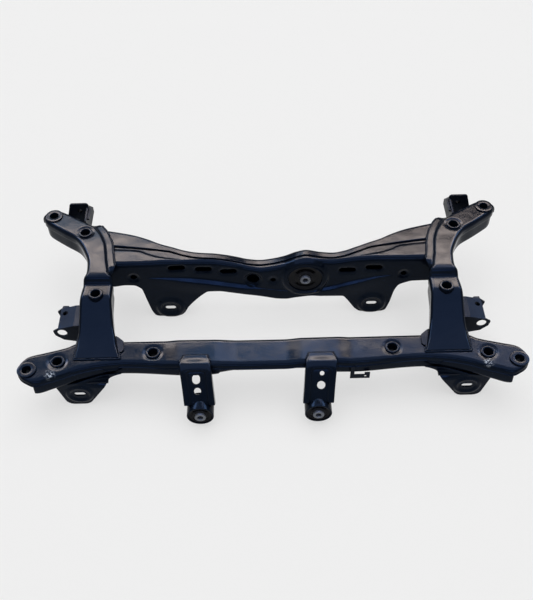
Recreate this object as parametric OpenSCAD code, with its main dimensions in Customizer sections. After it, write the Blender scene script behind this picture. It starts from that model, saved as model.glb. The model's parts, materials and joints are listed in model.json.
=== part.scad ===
// Rear suspension subframe: two cross beams joined by two side rails, with brackets and bushes.
// Units are millimetres. X runs across, Y to the rear, Z up; the lower-arm ears stand on Z = 0.

/* [Body mounts] */
// Distance between the front body-mount holes
front_mount_span = 1080; // [1050:5:1120]
// Distance between the rear body-mount holes
rear_mount_span = 1056; // [1040:2:1080]
// Distance behind the middle of the rear body-mount holes
rear_mount_y = 211; // [204:1:218]
// Distance in front of the middle of the front body-mount holes
front_mount_y = 210; // [200:1:220]
// Bore of the body-mount collars
mount_bore = 20; // [14:0.5:24]
// Outside diameter of the body-mount collars
collar_od = 30; // [26:0.5:32]
// Diameter of the collar flanges
collar_flange_d = 42; // [38:0.5:44]
// Thickness of the collar flanges
collar_flange_t = 3; // [2:0.25:5]

/* [Sheet metal] */
// Thickness of the pressed shells
sheet_t = 3; // [2:0.1:3.4]
// Clearance between pieces that lie on one another
seam_gap = 0.3; // [0.2:0.05:0.5]
// Outer radius of the long bends
bend_r = 10; // [8:0.5:12]
// Thickness of the bracket plates
plate_t = 4; // [3:0.25:5]

/* [Front beam] */
// Height of the front beam top above the floor
front_top_z = 120; // [114:0.5:124]
// Height of the front beam bottom at the ends
front_bottom_z = 75; // [70:0.5:78]
// Depth of the front beam at the middle
front_beam_depth = 76; // [70:0.5:80]
// Distance in front of the middle of the front beam's rear edge
front_beam_back = 129; // [126:0.5:134]
// Outward slope of the front beam walls, top to bottom
front_draft = 3; // [1:0.25:5]

/* [Rear beam] */
// Distance behind the middle of the rear beam's front wall
rear_wall_y = 48; // [44:0.5:52]
// Height of the rear beam top at the ends
rear_top_z = 184; // [180:0.5:185]
// Depth of the rear beam at the middle
rear_beam_depth = 38; // [36:0.5:44]
// Height of the dip in the rear beam top
rear_dip_z = 155; // [152:0.5:164]
// Height of the rear beam's lower edge below the bush
rear_bottom_z = 54; // [48:0.5:58]
// Set-back of the front wall above its pressed shoulder
shoulder_depth = 5; // [2:0.25:6]

/* [Side rails] */
// Distance between the rail middles
rail_span = 800; // [780:2:820]
// Height of the rail tops at the rear
rail_top_z = 194; // [193:0.5:198]
// Height of the rail section at the rear
rail_height = 62; // [56:0.5:64]
// Width of the rail at its waist
rail_waist = 47; // [45:0.5:52]

/* [Spacer tubes] */
// Bore of the spacer tubes
tube_bore = 21; // [16:0.5:24]
// Outside diameter of the spacer tubes
tube_od = 33; // [30:0.5:36]
// How far the spacer tubes stand above the sheet
tube_proud = 2; // [1:0.25:4]

/* [Lower arm ears] */
// Distance of the front ear slots inboard of the body mounts
front_ear_inset = 102; // [95:1:110]
// Distance between the rear ear slots
rear_ear_span = 496; // [480:2:510]
// Height of the front slots above the floor
front_slot_z = 38; // [32:0.5:42]
// Height of the rear slots above the floor
rear_slot_z = 31; // [26:0.5:36]
// Length of the adjusting slots
slot_len = 26; // [20:0.5:30]
// Width of the adjusting slots
slot_w = 12.5; // [10:0.5:14]
// Clear gap between the two plates of an ear
ear_gap = 52; // [46:0.5:56]
// Outside diameter of the raised rings round the slots
ear_ring_od = 58; // [52:0.5:60]
// Inside diameter of the raised rings
ear_ring_id = 42; // [38:0.5:46]
// Height of the raised rings
ear_ring_h = 1.5; // [1:0.25:2.5]

/* [Differential bushes] */
// Bolt hole of the bush cores
core_bore = 13; // [10:0.5:14]
// Outside diameter of the bush cores
core_od = 25; // [22:0.5:28]
// Outside diameter of the front bush sleeves
front_bush_od = 60; // [56:0.5:62]
// Length of the front bush sleeves
front_bush_len = 44; // [38:0.5:48]
// Position across of the left front bush
left_bush_x = -163; // [-175:1:-150]
// Position across of the right front bush
right_bush_x = 98; // [85:1:110]
// Distance in front of the middle of the front bushes
front_bush_y = 262; // [258:0.5:268]
// Height of the front bushes
front_bush_z = 40; // [36:0.5:46]
// Outside diameter of the rear bush sleeve
rear_bush_od = 88; // [80:0.5:92]
// Position across of the rear bush
rear_bush_x = 83; // [74:1:92]
// Height of the rear bush
rear_bush_z = 125; // [121:0.5:127]
// Wall of the bush sleeves
sleeve_t = 3.5; // [2.5:0.25:4]

/* [Front differential brackets] */
// Width of the brackets at the beam
diff_bracket_w = 70; // [66:0.5:74]
// Sideways lean of the brackets from the bush to the beam
diff_lean = 9; // [0:0.5:12]
// Outer radius of the fold over the beam
diff_fold = 30; // [24:0.5:32]
// Depth of the pressed panel
panel_depth = 6; // [3:0.25:8]
// Depth of the side flanges
diff_flange = 24; // [18:0.5:26]

/* [Upper link brackets] */
// Distance of the link bolts outboard of the rail middles
link_reach = 87; // [80:1:92]
// Height of the link bolts
link_z = 92; // [88:0.5:96]
// Distance in front of the middle of the gap's middle
link_y = 46; // [40:0.5:50]
// Clear gap between the plates
link_gap = 56; // [50:0.5:60]
// Bolt hole in the front plates
link_hole_d = 23; // [14:0.5:24]
// Bolt hole in the rear plates
link_nut_hole_d = 14; // [12:0.5:15]

/* [Tower brackets] */
// Distance of the towers inboard of the body mounts
tower_inset = 56; // [52:1:62]
// Height of the towers
tower_top_z = 203; // [199:0.5:206]
// Width of the tower plates
tower_w = 47; // [42:0.5:52]
// Distance behind the middle of the front plate
tower_y = 245; // [242:0.5:248]
// Depth of the tower side walls behind the front plate
tower_depth = 43; // [36:0.5:46]
// Height of the tower bolts
tower_bolt_z = 180; // [174:0.5:184]
// Bolt hole in the tower plates
tower_hole_d = 13; // [10:0.5:14]
// Width of the flange along the top of the inner wall
tower_flange = 10; // [7:0.5:12]

/* [Small parts] */
// Thickness of the corner gussets
gusset_t = 3; // [2:0.25:4]
// Length of the corner gussets along the rail
gusset_len = 44; // [38:0.5:50]
// Width of the corner gussets on the beam
gusset_w = 17; // [13:0.5:22]
// Thickness of the harness bracket
harness_t = 2; // [1.5:0.25:3]
// Position across of the harness bracket
harness_x = 194; // [186:1:204]
// Width across flats of the weld nuts
nut_flats = 21; // [19:0.5:23]
// Height of the weld nuts
nut_h = 11; // [8:0.5:13]

/* [Hidden] */
$fn = 48;
seat = sheet_t + seam_gap;
lip_drop = 12;
lap = 10;
front_eye_x = front_mount_span / 2;
rear_eye_x = rear_mount_span / 2;
rail_x = rail_span / 2;
front_ear_x = front_eye_x - front_ear_inset;
rear_ear_x = rear_ear_span / 2;
wing_hole = [front_eye_x - 63, 25 - front_mount_y];
arm_hole = [rear_eye_x - 84, rear_mount_y - 60];
rail_hole_y = -38;
rail_hole_drop = 18;
rail_pan_drop = 27;
beam_hole_x = 267;
beam_hole_y = -front_beam_back - front_beam_depth / 2 + 2;
collar_pad_z = front_top_z + 5;
bracket_pad_z = front_top_z + 3;
bush_reach = 4;
black = [0.09, 0.1, 0.13];
coat = [0.12, 0.13, 0.17];
rubber_black = [0.05, 0.05, 0.05];
bare_steel = [0.6, 0.6, 0.58];

// Smooth curve through [place, value] rows, without overshoot.
function seg(t, x, i = 0) = (i >= len(t) - 2 || x < t[i + 1][0]) ? i : seg(t, x, i + 1);
function chord(t, i) = (t[i + 1][1] - t[i][1]) / (t[i + 1][0] - t[i][0]);
function tangent(t, i) = (i == 0 || i == len(t) - 1) ? 0 :
    let (a = chord(t, i - 1), b = chord(t, i)) (a * b <= 0 ? 0 : 2 * a * b / (a + b));
function curve(t, x) =
    let (i = seg(t, x), h = t[i + 1][0] - t[i][0], s = min(1, max(0, (x - t[i][0]) / h)),
         a = t[i][1], b = t[i + 1][1], ma = tangent(t, i) * h, mb = tangent(t, i + 1) * h)
    (2 * s * s * s - 3 * s * s + 1) * a + (s * s * s - 2 * s * s + s) * ma
    + (3 * s * s - 2 * s * s * s) * b + (s * s * s - s * s) * mb;
function mix(a, b, k) = a * (1 - k) + b * k;
function arc(c, r, a0, a1, n = 3) =
    [for (i = [0:n]) let (a = a0 + (a1 - a0) * i / n) [c[0] + r * cos(a), c[1] + r * sin(a)]];
function flat(l) = [for (a = l) for (b = a) b];

// Open line moved to its right by t, mitred at its corners.
function side(a, b) = let (d = b - a, l = norm(d)) [d[1] / l, -d[0] / l];
function inset(p, t) = [for (i = [0:len(p) - 1])
    i == 0 ? p[0] + t * side(p[0], p[1]) :
    i == len(p) - 1 ? p[i] + t * side(p[i - 1], p[i]) :
    let (a = side(p[i - 1], p[i]), b = side(p[i], p[i + 1])) p[i] + (a + b) * t / (1 + a * b)];

// Solid sheet between an outer and an inner grid of points.
module sheet(outer, inner) {
    n = len(outer);
    m = len(outer[0]);
    k = n * m;
    function o(i, j) = i * m + j;
    function q(i, j) = k + i * m + j;
    polyhedron(points = concat(flat(outer), flat(inner)), convexity = 10, faces = concat(
        flat([for (i = [0:n - 2]) for (j = [0:m - 2]) [
            [o(i, j), o(i, j + 1), o(i + 1, j + 1)], [o(i, j), o(i + 1, j + 1), o(i + 1, j)],
            [q(i, j), q(i + 1, j + 1), q(i, j + 1)], [q(i, j), q(i + 1, j), q(i + 1, j + 1)]]]),
        flat([for (i = [0:n - 2]) [
            [o(i, 0), o(i + 1, 0), q(i + 1, 0)], [o(i, 0), q(i + 1, 0), q(i, 0)],
            [o(i + 1, m - 1), o(i, m - 1), q(i, m - 1)], [o(i + 1, m - 1), q(i, m - 1), q(i + 1, m - 1)]]]),
        flat([for (j = [0:m - 2]) [
            [o(0, j + 1), o(0, j), q(0, j)], [o(0, j + 1), q(0, j), q(0, j + 1)],
            [o(n - 1, j), o(n - 1, j + 1), q(n - 1, j + 1)],
            [o(n - 1, j), q(n - 1, j + 1), q(n - 1, j)]]])));
}

// Solid body through closed rings of points.
module body(rings) {
    n = len(rings);
    m = len(rings[0]);
    function o(i, j) = i * m + (j % m);
    polyhedron(points = flat(rings), convexity = 10, faces = concat(
        flat([for (i = [0:n - 2]) for (j = [0:m - 1]) [
            [o(i, j), o(i, j + 1), o(i + 1, j + 1)], [o(i, j), o(i + 1, j + 1), o(i + 1, j)]]]),
        [[for (j = [0:m - 1]) m - 1 - j], [for (j = [0:m - 1]) (n - 1) * m + j]]));
}

module bar(p, d, h) {
    translate(p)
        cylinder(d = d, h = h);
}

module bar_y(p, d, h) {
    translate(p)
        rotate([-90, 0, 0])
            cylinder(d = d, h = h);
}

module ring(p, od, id, h) {
    difference() {
        bar(p, od, h);
        bar(p - [0, 0, 1], id, h + 2);
    }
}

module ring_y(p, od, id, h) {
    difference() {
        bar_y(p, od, h);
        bar_y(p - [0, 1, 0], id, h + 2);
    }
}

// Slot through Y at [x, z], len along X.
module slot_y(x, z, y, depth, len, w) {
    for (s = [-1, 1])
        bar_y([x + s * (len - w) / 2, y, z], w, depth);
    translate([x - (len - w) / 2, y, z - w / 2])
        cube([len - w, depth, w]);
}

// Front beam
front_back_rows = [[0, -front_beam_back], [335, -front_beam_back + 2],
    [front_eye_x - 100, -front_beam_back],
    [front_eye_x - 80, 71 - front_mount_y], [front_eye_x - 46, 58 - front_mount_y],
    [front_eye_x - 12, 46 - front_mount_y], [front_eye_x + 4, 38 - front_mount_y],
    [front_eye_x + 20, 18 - front_mount_y]];
front_front_rows = [[0, -front_beam_back - front_beam_depth],
    [170, -front_beam_back - front_beam_depth + 1], [335, -front_beam_back - front_beam_depth + 12],
    [front_eye_x - 160, -front_beam_back - front_beam_depth + 8],
    [front_eye_x - 110, 2 - front_mount_y], [front_eye_x - 54, -21 - front_mount_y],
    [front_eye_x - 18, -33 - front_mount_y], [front_eye_x, -26 - front_mount_y],
    [front_eye_x + 11, -18 - front_mount_y], [front_eye_x + 20, -8 - front_mount_y]];
left_pad_x = left_bush_x - diff_lean;
right_pad_x = right_bush_x + diff_lean;
pad_half = diff_bracket_w / 2 + 3;
front_top_rows = [[-front_eye_x, collar_pad_z], [-front_eye_x + 30, collar_pad_z - 1],
    [-front_eye_x + 85, front_top_z], [left_pad_x - pad_half - 34, front_top_z],
    [left_pad_x - pad_half, bracket_pad_z],
    [left_pad_x + pad_half, bracket_pad_z], [left_pad_x + pad_half + 57, front_top_z - 1],
    [right_pad_x - pad_half - 42, front_top_z - 1], [right_pad_x - pad_half, bracket_pad_z],
    [right_pad_x + pad_half, bracket_pad_z], [right_pad_x + pad_half + 34, front_top_z],
    [front_eye_x - 85, front_top_z], [front_eye_x - 30, collar_pad_z - 1], [front_eye_x, collar_pad_z]];
front_bottom_rows = [[0, front_bottom_z + 16], [70, front_bottom_z + 15], [150, front_bottom_z + 2],
    [230, front_bottom_z], [front_eye_x, front_bottom_z]];
front_bend_rows = [[0, bend_r], [front_eye_x - 30, bend_r], [front_eye_x, 6], [front_eye_x + 20, 4.5]];
front_lip_rows = [[0, 4], [80, 4], [160, lip_drop], [front_eye_x - 40, lip_drop], [front_eye_x - 12, 3],
    [front_eye_x + 20, 2]];
function front_yb(x) = curve(front_back_rows, abs(x));
function front_yf(x) = curve(front_front_rows, abs(x));
function front_zt(x) = curve(front_top_rows, x);
function front_zb(x) = curve(front_bottom_rows, abs(x));
function front_r(x) = curve(front_bend_rows, abs(x));
function front_lip(x) = front_zt(x) - front_r(x) - curve(front_lip_rows, abs(x));
function front_out(x, z) =
    front_draft * (front_zt(x) - front_r(x) - z) / (front_zt(x) - front_r(x) - front_zb(x));

wing_places = [245, 290, 345, 390, front_eye_x - 110, front_eye_x - 82, front_eye_x - 54, front_eye_x - 34,
    front_eye_x - 18, front_eye_x - 6, front_eye_x + 4, front_eye_x + 12, front_eye_x + 20];
front_places = concat([for (i = [len(wing_places) - 1:-1:0]) -wing_places[i]],
    [for (d = [-1, 0, 1]) left_pad_x + d * pad_half], [-85, -35, 0, 30],
    [for (d = [-1, 0, 1]) right_pad_x + d * pad_half], [180], wing_places);
lower_end = front_eye_x - 14;
lower_places = concat([-lower_end], [for (x = front_places) if (abs(x) < lower_end - 3) x], [lower_end]);

function front_upper_line(x) =
    let (r = front_r(x), zt = front_zt(x), yf = front_yf(x), yb = front_yb(x), zl = front_lip(x))
    concat([[yf - front_out(x, zl), zl]], arc([yf + r, zt - r], r, 180, 90),
    arc([yb - r, zt - r], r, 90, 0),
        [[yb + front_out(x, zl), zl]]);

module front_beam_upper() {
    lines = [for (x = front_places) front_upper_line(x)];
    color(coat) difference() {
        sheet([for (i = [0:len(lines) - 1]) [for (p = lines[i]) [front_places[i], p[0], p[1]]]],
            [for (i = [0:len(lines) - 1])
                [for (p = inset(lines[i], sheet_t)) [front_places[i], p[0], p[1]]]]);
        for (s = [-1, 1]) {
            bar([s * front_eye_x, -front_mount_y, front_bottom_z], collar_od + 2 * seam_gap, 80);
            bar([s * wing_hole[0], wing_hole[1], front_bottom_z], tube_od + 2 * seam_gap, 80);
            bar([s * beam_hole_x, beam_hole_y, front_bottom_z], tube_od + 2 * seam_gap, 80);
        }
    }
}

function front_lower_line(x) =
    let (zb = front_zb(x), z1 = min(front_lip(x) + lap, front_top_z - bend_r - 2), s = seat + seam_gap,
         r = min(1.5 * bend_r, z1 - zb - 1) * (abs(x) < 120 ? 1 : 0.66),
         yf = front_yf(x) + s, yb = front_yb(x) - s,
         f1 = yf - front_out(x, z1), f0 = yf - front_out(x, zb + r),
         b1 = yb + front_out(x, z1), b0 = yb + front_out(x, zb + r))
    concat([[b1, z1]], arc([b0 - r, zb + r], r, 0, -90), arc([f0 + r, zb + r], r, -90, -180), [[f1, z1]]);

module front_beam_lower() {
    lines = [for (x = lower_places) front_lower_line(x)];
    color(black) difference() {
        sheet([for (i = [0:len(lines) - 1]) [for (p = lines[i]) [lower_places[i], p[0], p[1]]]],
            [for (i = [0:len(lines) - 1])
                [for (p = inset(lines[i], sheet_t)) [lower_places[i], p[0], p[1]]]]);
        for (s = [-1, 1]) {
            bar([s * front_eye_x, -front_mount_y, 20], collar_od + 2 * seam_gap, 120);
            bar([s * wing_hole[0], wing_hole[1], 20], tube_bore, 120);
            bar([s * beam_hole_x, beam_hole_y, 20], tube_bore, 120);
        }
    }
}

// Side rails: rows of x, y, outer half width, inner half width, top, bottom, left side.
rail_rows = [
    [-rear_eye_x - 20, rear_mount_y + 14, 12, 12, rail_top_z, rail_top_z - rail_height + 4],
    [-rear_eye_x - 13, rear_mount_y + 9, 20, 20, rail_top_z, rail_top_z - rail_height + 2],
    [-rear_eye_x, rear_mount_y, 25, 27, rail_top_z, rail_top_z - rail_height],
    [-rear_eye_x + 42, rear_mount_y - 29, 28, 30, rail_top_z, rail_top_z - rail_height],
    [-arm_hole[0], arm_hole[1], 29, 30, rail_top_z, rail_top_z - rail_height],
    [-rail_x - 18, rear_wall_y + 60, 28, 27, rail_top_z, rail_top_z - rail_height],
    [-rail_x - 4, rear_wall_y + 14, rail_waist * 0.55, rail_waist * 0.45, rail_top_z,
    rail_top_z - rail_height],
    [-rail_x, 20, 27, 26, rail_top_z, rail_top_z - rail_height - 6],
    [-rail_x, 6, 31, 33, rail_top_z - 1, rail_top_z - rail_height - 12],
    [-rail_x, -6, 34, 35, rail_top_z - 12, rail_top_z - rail_height - 16],
    [-rail_x, rail_hole_y, 37, 35, rail_top_z - rail_hole_drop, rail_top_z - rail_height - rail_pan_drop],
    [-rail_x, -75, 38, 38, rail_top_z - 37, rail_top_z - rail_height - 46],
    [-rail_x, -104, 38, 42, front_top_z + 22.5, front_bottom_z + 12],
    [-rail_x, 17 - front_beam_back, 38, 44, front_top_z + 19.5, front_bottom_z + 8],
    [-rail_x, 3 - front_beam_back, 39, 47, front_top_z + 15, front_bottom_z + 6],
    [-rail_x, -front_beam_back - 18, 40, 52, front_top_z + 10, front_bottom_z + 6],
    [-rail_x, -front_beam_back - 50, 40, 60, front_top_z + sheet_t + 1.4, front_bottom_z + 6]];
function run(i) = i == 0 ? 0 :
    run(i - 1) + norm([rail_rows[i][0] - rail_rows[i - 1][0], rail_rows[i][1] - rail_rows[i - 1][1]]);
rail_runs = [for (i = [0:len(rail_rows) - 1]) run(i)];
function rail_table(k) = [for (i = [0:len(rail_rows) - 1]) [rail_runs[i], rail_rows[i][k]]];
rail_tables = [for (k = [0:5]) rail_table(k)];
function rail_at(k, s) = curve(rail_tables[k], s);
function rail_dir(s) =
    let (a = max(0, s - 4), b = min(rail_runs[len(rail_runs) - 1], s + 4),
         d = [rail_at(0, b) - rail_at(0, a), rail_at(1, b) - rail_at(1, a)]) d / norm(d);
function rail_side(s) = let (d = rail_dir(s)) [-d[1], d[0]];
rail_places = concat([for (i = [0:len(rail_runs) - 2])
    for (k = [0:(i < 2 ? 0 : i < 6 ? 2 : i < 8 ? 1 : i < 12 ? 1 : 0)])

                    mix(rail_runs[i], rail_runs[i + 1],
                        k / ((i < 2 ? 0 : i < 6 ? 2 : i < 8 ? 1 : i < 12 ? 1 : 0) + 1))],
    [rail_runs[len(rail_runs) - 1]]);
wall_end = rail_runs[13];
function put(s, p) = let (q = rail_side(s))
    [rail_at(0, s) + q[0] * p[0], rail_at(1, s) + q[1] * p[0], p[1]];

rail_r = bend_r - 1;
flange_len = 15;
flange_rows = [[0, 0], [rail_runs[3] + 32, 0], [rail_runs[4] + 3, 1], [rail_runs[6] + 26, 1],
    [rail_runs[7] + 10, 0], [rail_runs[16], 0]];
// Lower edge of the rail's upper shell; on the front beam it stops at the beam's top.
function rail_lip(s) = let (z = rail_at(4, s) - rail_r - lip_drop)
    s > wall_end + 1 ? max(z, front_top_z + 2 * seam_gap) : z;
function rail_upper_line(s) =
    let (o = rail_at(2, s), i = rail_at(3, s), zt = rail_at(4, s), zl = rail_lip(s),
    r = min(rail_r, zt - zl - 0.5),
         m = curve(flange_rows, s), step = rail_top_z - rear_top_z - 2 * seat - seam_gap,
         a = concat([[-o, zl]], arc([-o + r, zt - r], r, 180, 90)),
         b = concat(arc([i - r, zt - r], r, 90, 0), [[i, zl]]),
         c = [[i - 7, zt], [i - 4, zt - step * 0.3], [i - 1.5, zt - step * 0.75], [i + 1.5, zt - step],
              [i + flange_len, zt - step]])
    concat(a, [for (k = [0:4]) mix(b[k], c[k], m)]);

module left_rail_shell() {
    lines = [for (s = rail_places) rail_upper_line(s)];
    difference() {
        sheet([for (i = [0:len(lines) - 1]) [for (p = lines[i]) put(rail_places[i], p)]],
            [for (i = [0:len(lines) - 1]) [for (p = inset(lines[i], sheet_t)) put(rail_places[i], p)]]);
        bar([-rear_eye_x, rear_mount_y, 100], collar_od + 2 * seam_gap, 120);
        bar([-arm_hole[0], arm_hole[1], 100], tube_od + 2 * seam_gap, 120);
        bar([-rail_x, rail_hole_y, 100], tube_od + 2 * seam_gap, 120);
    }
}

module left_rail_upper() {
    color(coat) left_rail_shell();
}

module right_rail_upper() {
    color(coat) mirror([1, 0, 0]) left_rail_shell();
}

pan_places = concat([for (s = rail_places) if (s <= wall_end + 0.01) s], [wall_end + 10]);
function rail_lower_line(s) =
    let (o = rail_at(2, s) - seat, i = rail_at(3, s) - seat,
         z1 = rail_at(4, s) - rail_r - lip_drop + lap - (s > wall_end ? 8 : 0),
         zb = rail_at(5, s), r = min(rail_r, o - 1, i - 1))
    concat([[i, z1]], arc([i - r, zb + r], r, 0, -90), arc([-o + r, zb + r], r, -90, -180), [[-o, z1]]);

module left_rail_pan() {
    lines = [for (s = pan_places) rail_lower_line(s)];
    difference() {
        sheet([for (i = [0:len(lines) - 1]) [for (p = lines[i]) put(pan_places[i], p)]],
            [for (i = [0:len(lines) - 1]) [for (p = inset(lines[i], sheet_t)) put(pan_places[i], p)]]);
        bar([-rear_eye_x, rear_mount_y, 60], collar_od + 2 * seam_gap, 140);
        bar([-arm_hole[0], arm_hole[1], 60], tube_bore, 140);
        bar([-rail_x, rail_hole_y, 60], tube_bore, 140);
    }
}

module left_rail_lower() {
    color(black) left_rail_pan();
}

module right_rail_lower() {
    color(black) mirror([1, 0, 0]) left_rail_pan();
}

// Outer shape of a stretch of the left rail, grown by g, that the brackets are trimmed to.
module rail_block(g, first, last) {
    body([for (s = pan_places) if (s >= first && s <= last)
        let (o = rail_at(2, s) + g, i = rail_at(3, s) + g, zt = rail_at(4, s) + g, zb = rail_at(5, s) - g,
             zl = rail_at(4, s) - rail_r - lip_drop - g, n = seat)
        [for (p = [[-o, zl], [-o, zt], [i, zt], [i, zl], [i - n, zl], [i - n, zb], [-o + n, zb],
        [-o + n, zl]])
            put(s, p)]]);
}

// Rear beam
rear_edge = [for (i = [len(rail_places) - 1:-1:0]) let (s = rail_places[i])
    if (s >= rail_runs[3] && s <= rail_runs[8]) put(s, [rail_at(3, s) + seam_gap, 0])];
rear_edge_rows = [for (p = rear_edge) [p[1], -p[0]]];
function rear_end(y) = lookup(y, rear_edge_rows);
rear_half = rear_end(rear_wall_y);
ear_seat_z = rear_bottom_z + 38;
rear_top_rows = [[-rear_half, rear_top_z], [-250, rear_top_z], [-170, rear_top_z - 1],
    [-137, rear_top_z - 3],
    [-109, rear_top_z - 8], [-80, mix(rear_dip_z, rear_top_z, 0.45)], [-52, rear_dip_z + 4],
    [-24, rear_dip_z],
    [5, rear_dip_z + 4], [rear_bush_x - 50, rear_dip_z + 12], [rear_bush_x - 21, rear_top_z - 4],
    [rear_bush_x, rear_top_z + 1], [rear_bush_x + 36, rear_top_z - 7], [rear_bush_x + 64, rear_top_z - 10],
    [175, rear_top_z - 6], [205, rear_top_z - 1], [250, rear_top_z], [rear_half, rear_top_z]];
rear_back_rows = [for (p = [[0, 0], [150, 0], [173, 2], [200, 9], [228, 21], [255, 33], [281, 50],
    [307, 64],
    [334, 74], [359, 82], [rear_half, 88]]) [p[0], rear_wall_y + rear_beam_depth + p[1]]];
rear_lap_rows = [[0, rear_wall_y + 20], [71, rear_wall_y + 20], [170, rear_wall_y + 27],
    [240, rear_wall_y + 42],
    [311, rear_wall_y + 54], [rear_half, rear_wall_y + 62]];
rear_bottom_rows = [[-rear_half, rear_bottom_z + 62], [-rear_ear_x - 82, rear_bottom_z + 63],
    [-rear_ear_x - 56, ear_seat_z], [-rear_ear_x + 56, ear_seat_z], [-150, rear_bottom_z + 40],
    [-99, rear_bottom_z + 36], [-14, rear_bottom_z + 16], [37, rear_bottom_z + 8],
    [100, rear_bottom_z + 15],
    [150, rear_bottom_z + 20], [rear_ear_x - 56, ear_seat_z], [rear_ear_x + 56, ear_seat_z],
    [rear_ear_x + 77, rear_bottom_z + 54], [rear_half, rear_bottom_z + 57]];
left_ear_rows = [[-98, rear_bottom_z + 33], [-80, rear_bottom_z + 19], [-62, 54], [-44, 31], [-34, 12],
    [-24, 2.5],
    [-8, 0], [28, 0], [38, 2.5], [46, 17], [54, 53], [64, rear_bottom_z + 47], [82, rear_bottom_z + 59]];
right_ear_rows = [[-73, rear_bottom_z + 5], [-62, 47], [-52, 31], [-38, 10], [-26, 1.5], [-4, 0], [24, 0],
    [35, 4], [44, 30],
    [53, 76], [62, rear_bottom_z + 40], [77, rear_bottom_z + 48]];
rear_foot_rows = concat([[-rear_half, rear_bottom_z + 56], [-348, rear_bottom_z + 60]],
    [for (i = [len(left_ear_rows) - 1:-1:0]) [-rear_ear_x - left_ear_rows[i][0], left_ear_rows[i][1]]],
    [[-125, rear_bottom_z + 34], [-99, rear_bottom_z + 29], [-48, rear_bottom_z + 17],
    [-14, rear_bottom_z + 8],
     [20, rear_bottom_z], [37, rear_bottom_z - 1], [60, rear_bottom_z + 3], [100, rear_bottom_z + 8]],
    [for (p = right_ear_rows) [rear_ear_x + p[0], p[1]]],
    [[341, rear_bottom_z + 53], [rear_half, rear_bottom_z + 54]]);
function rear_zt(x) = curve(rear_top_rows, x);
function rear_yb(x) = curve(rear_back_rows, abs(x));
function rear_flange(x) = min(curve(rear_lap_rows, abs(x)) + lap, rear_yb(x) - bend_r - 1);
function rear_lap(x) = rear_flange(x) - lap;
function rear_zb(x) = curve(rear_bottom_rows, x);
function rear_foot(x) = curve(rear_foot_rows, x);
middle_places = [-125, -99, -74, -48, -24, 5, rear_bush_x - 50, rear_bush_x - 21, rear_bush_x,
    rear_bush_x + 36,
    rear_bush_x + 64];
rear_places = concat([-rear_half],
    [for (i = [len(left_ear_rows) - 1:-1:0]) -rear_ear_x - left_ear_rows[i][0]],
    middle_places, [for (p = right_ear_rows) rear_ear_x + p[0]], [rear_half]);
shell_places = concat([-rear_half, -348], [for (e = [82, 56, 28, 0, -28, -56]) -rear_ear_x - e], [-150],
    middle_places, [for (e = [-56, -28, 0, 28, 56, 77]) rear_ear_x + e], [348, rear_half]);
rear_edge_end = rear_mount_y - 24;
function spread(x, p) = [x * rear_end(min(p[0], rear_edge_end)) / rear_half, p[0], p[1]];

// Height of the shoulder, and how far the wall above it is set back.
shoulder_rows = [[-rear_half, 140], [-285, 137], [-168, 122], [-66, 100], [0, 88], [60, 80], [124, 84],
    [200, 106],
    [281, 127], [rear_half, 130]];
set_back_rows = [for (p = [[-300, 0], [-285, 0.1], [-168, 1], [-66, 1], [0, 0.5], [124, 0.8], [200, 0.7],
    [281, 0.1],
    [300, 0]]) [p[0], p[1] * shoulder_depth]];
function rear_front_line(x) =
    let (zt = rear_zt(x), y0 = rear_wall_y, r = bend_r, b = curve(set_back_rows, x),
    zs = curve(shoulder_rows, x))
    concat([[y0, rear_foot(x)], [y0, zs - b - 1], [y0 + b, zs + b + 1]],
    arc([y0 + b + r, zt - r], r, 180, 90),
        [[rear_flange(x), zt]]);

module rear_beam_front() {
    lines = [for (x = rear_places) rear_front_line(x)];
    w = rear_wall_y - 4;
    deep = sheet_t + shoulder_depth + 6;
    color(coat) difference() {
        union() {
            sheet([for (i = [0:len(lines) - 1]) [for (p = lines[i]) spread(rear_places[i], p)]],
                [for (i = [0:len(lines) - 1])
                    [for (p = inset(lines[i], sheet_t)) spread(rear_places[i], p)]]);
            for (s = [-1, 1])
                ring_y([s * rear_ear_x, rear_wall_y - ear_ring_h, rear_slot_z], ear_ring_od, ear_ring_id,
                ear_ring_h + 1);
        }
        for (s = [-1, 1])
            slot_y(s * rear_ear_x, rear_slot_z, w, deep, slot_len, slot_w);
        bar_y([rear_bush_x, w, rear_bush_z], rear_bush_od + 2 * seam_gap, deep);
        for (p = [[-222, 165], [-159, 157], [-100, 148], [183, 145], [246, 153]])
            slot_y(p[0], p[1], w, deep, 40, 16);
        bar_y([-42, w, 122], 30, deep);
        for (p = [[6, 120, 13], [-326, 139, 13], [318, 132, 13]])
            bar_y([p[0], w, p[1]], p[2], deep);
    }
}

function rear_back_line(x) =
    let (zt = rear_zt(x) + seat + seam_gap, yb = rear_yb(x), zb = rear_zb(x), r = bend_r)
    concat([[rear_lap(x), zt], [mix(rear_lap(x), yb - r, 0.5), zt]], arc([yb - r, zt - r], r, 90, 0),
        arc([yb - r, zb + r], r, 0, -90), [[rear_wall_y + seat, zb]]);

module rear_beam_rear() {
    lines = [for (x = shell_places) rear_back_line(x)];
    color(black) difference() {
        sheet([for (i = [0:len(lines) - 1]) [for (p = lines[i]) spread(shell_places[i], p)]],
            [for (i = [0:len(lines) - 1]) [for (p = inset(lines[i], sheet_t)) spread(shell_places[i], p)]]);
        bar_y([rear_bush_x, rear_wall_y + 10, rear_bush_z], rear_bush_od + 2 * seam_gap,
            2 * rear_beam_depth);
    }
}

// Body-mount collars and spacer tubes
module collar(x, y, top, bottom) {
    difference() {
        union() {
            bar([x, y, bottom], collar_od, top - bottom + collar_flange_t);
            bar([x, y, top + seam_gap], collar_flange_d, collar_flange_t);
        }
        bar([x, y, bottom - 1], mount_bore, top - bottom + collar_flange_t + 5);
    }
}

module front_left_collar() {
    color(coat) collar(-front_eye_x, -front_mount_y, collar_pad_z, front_bottom_z + 16);
}

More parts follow.
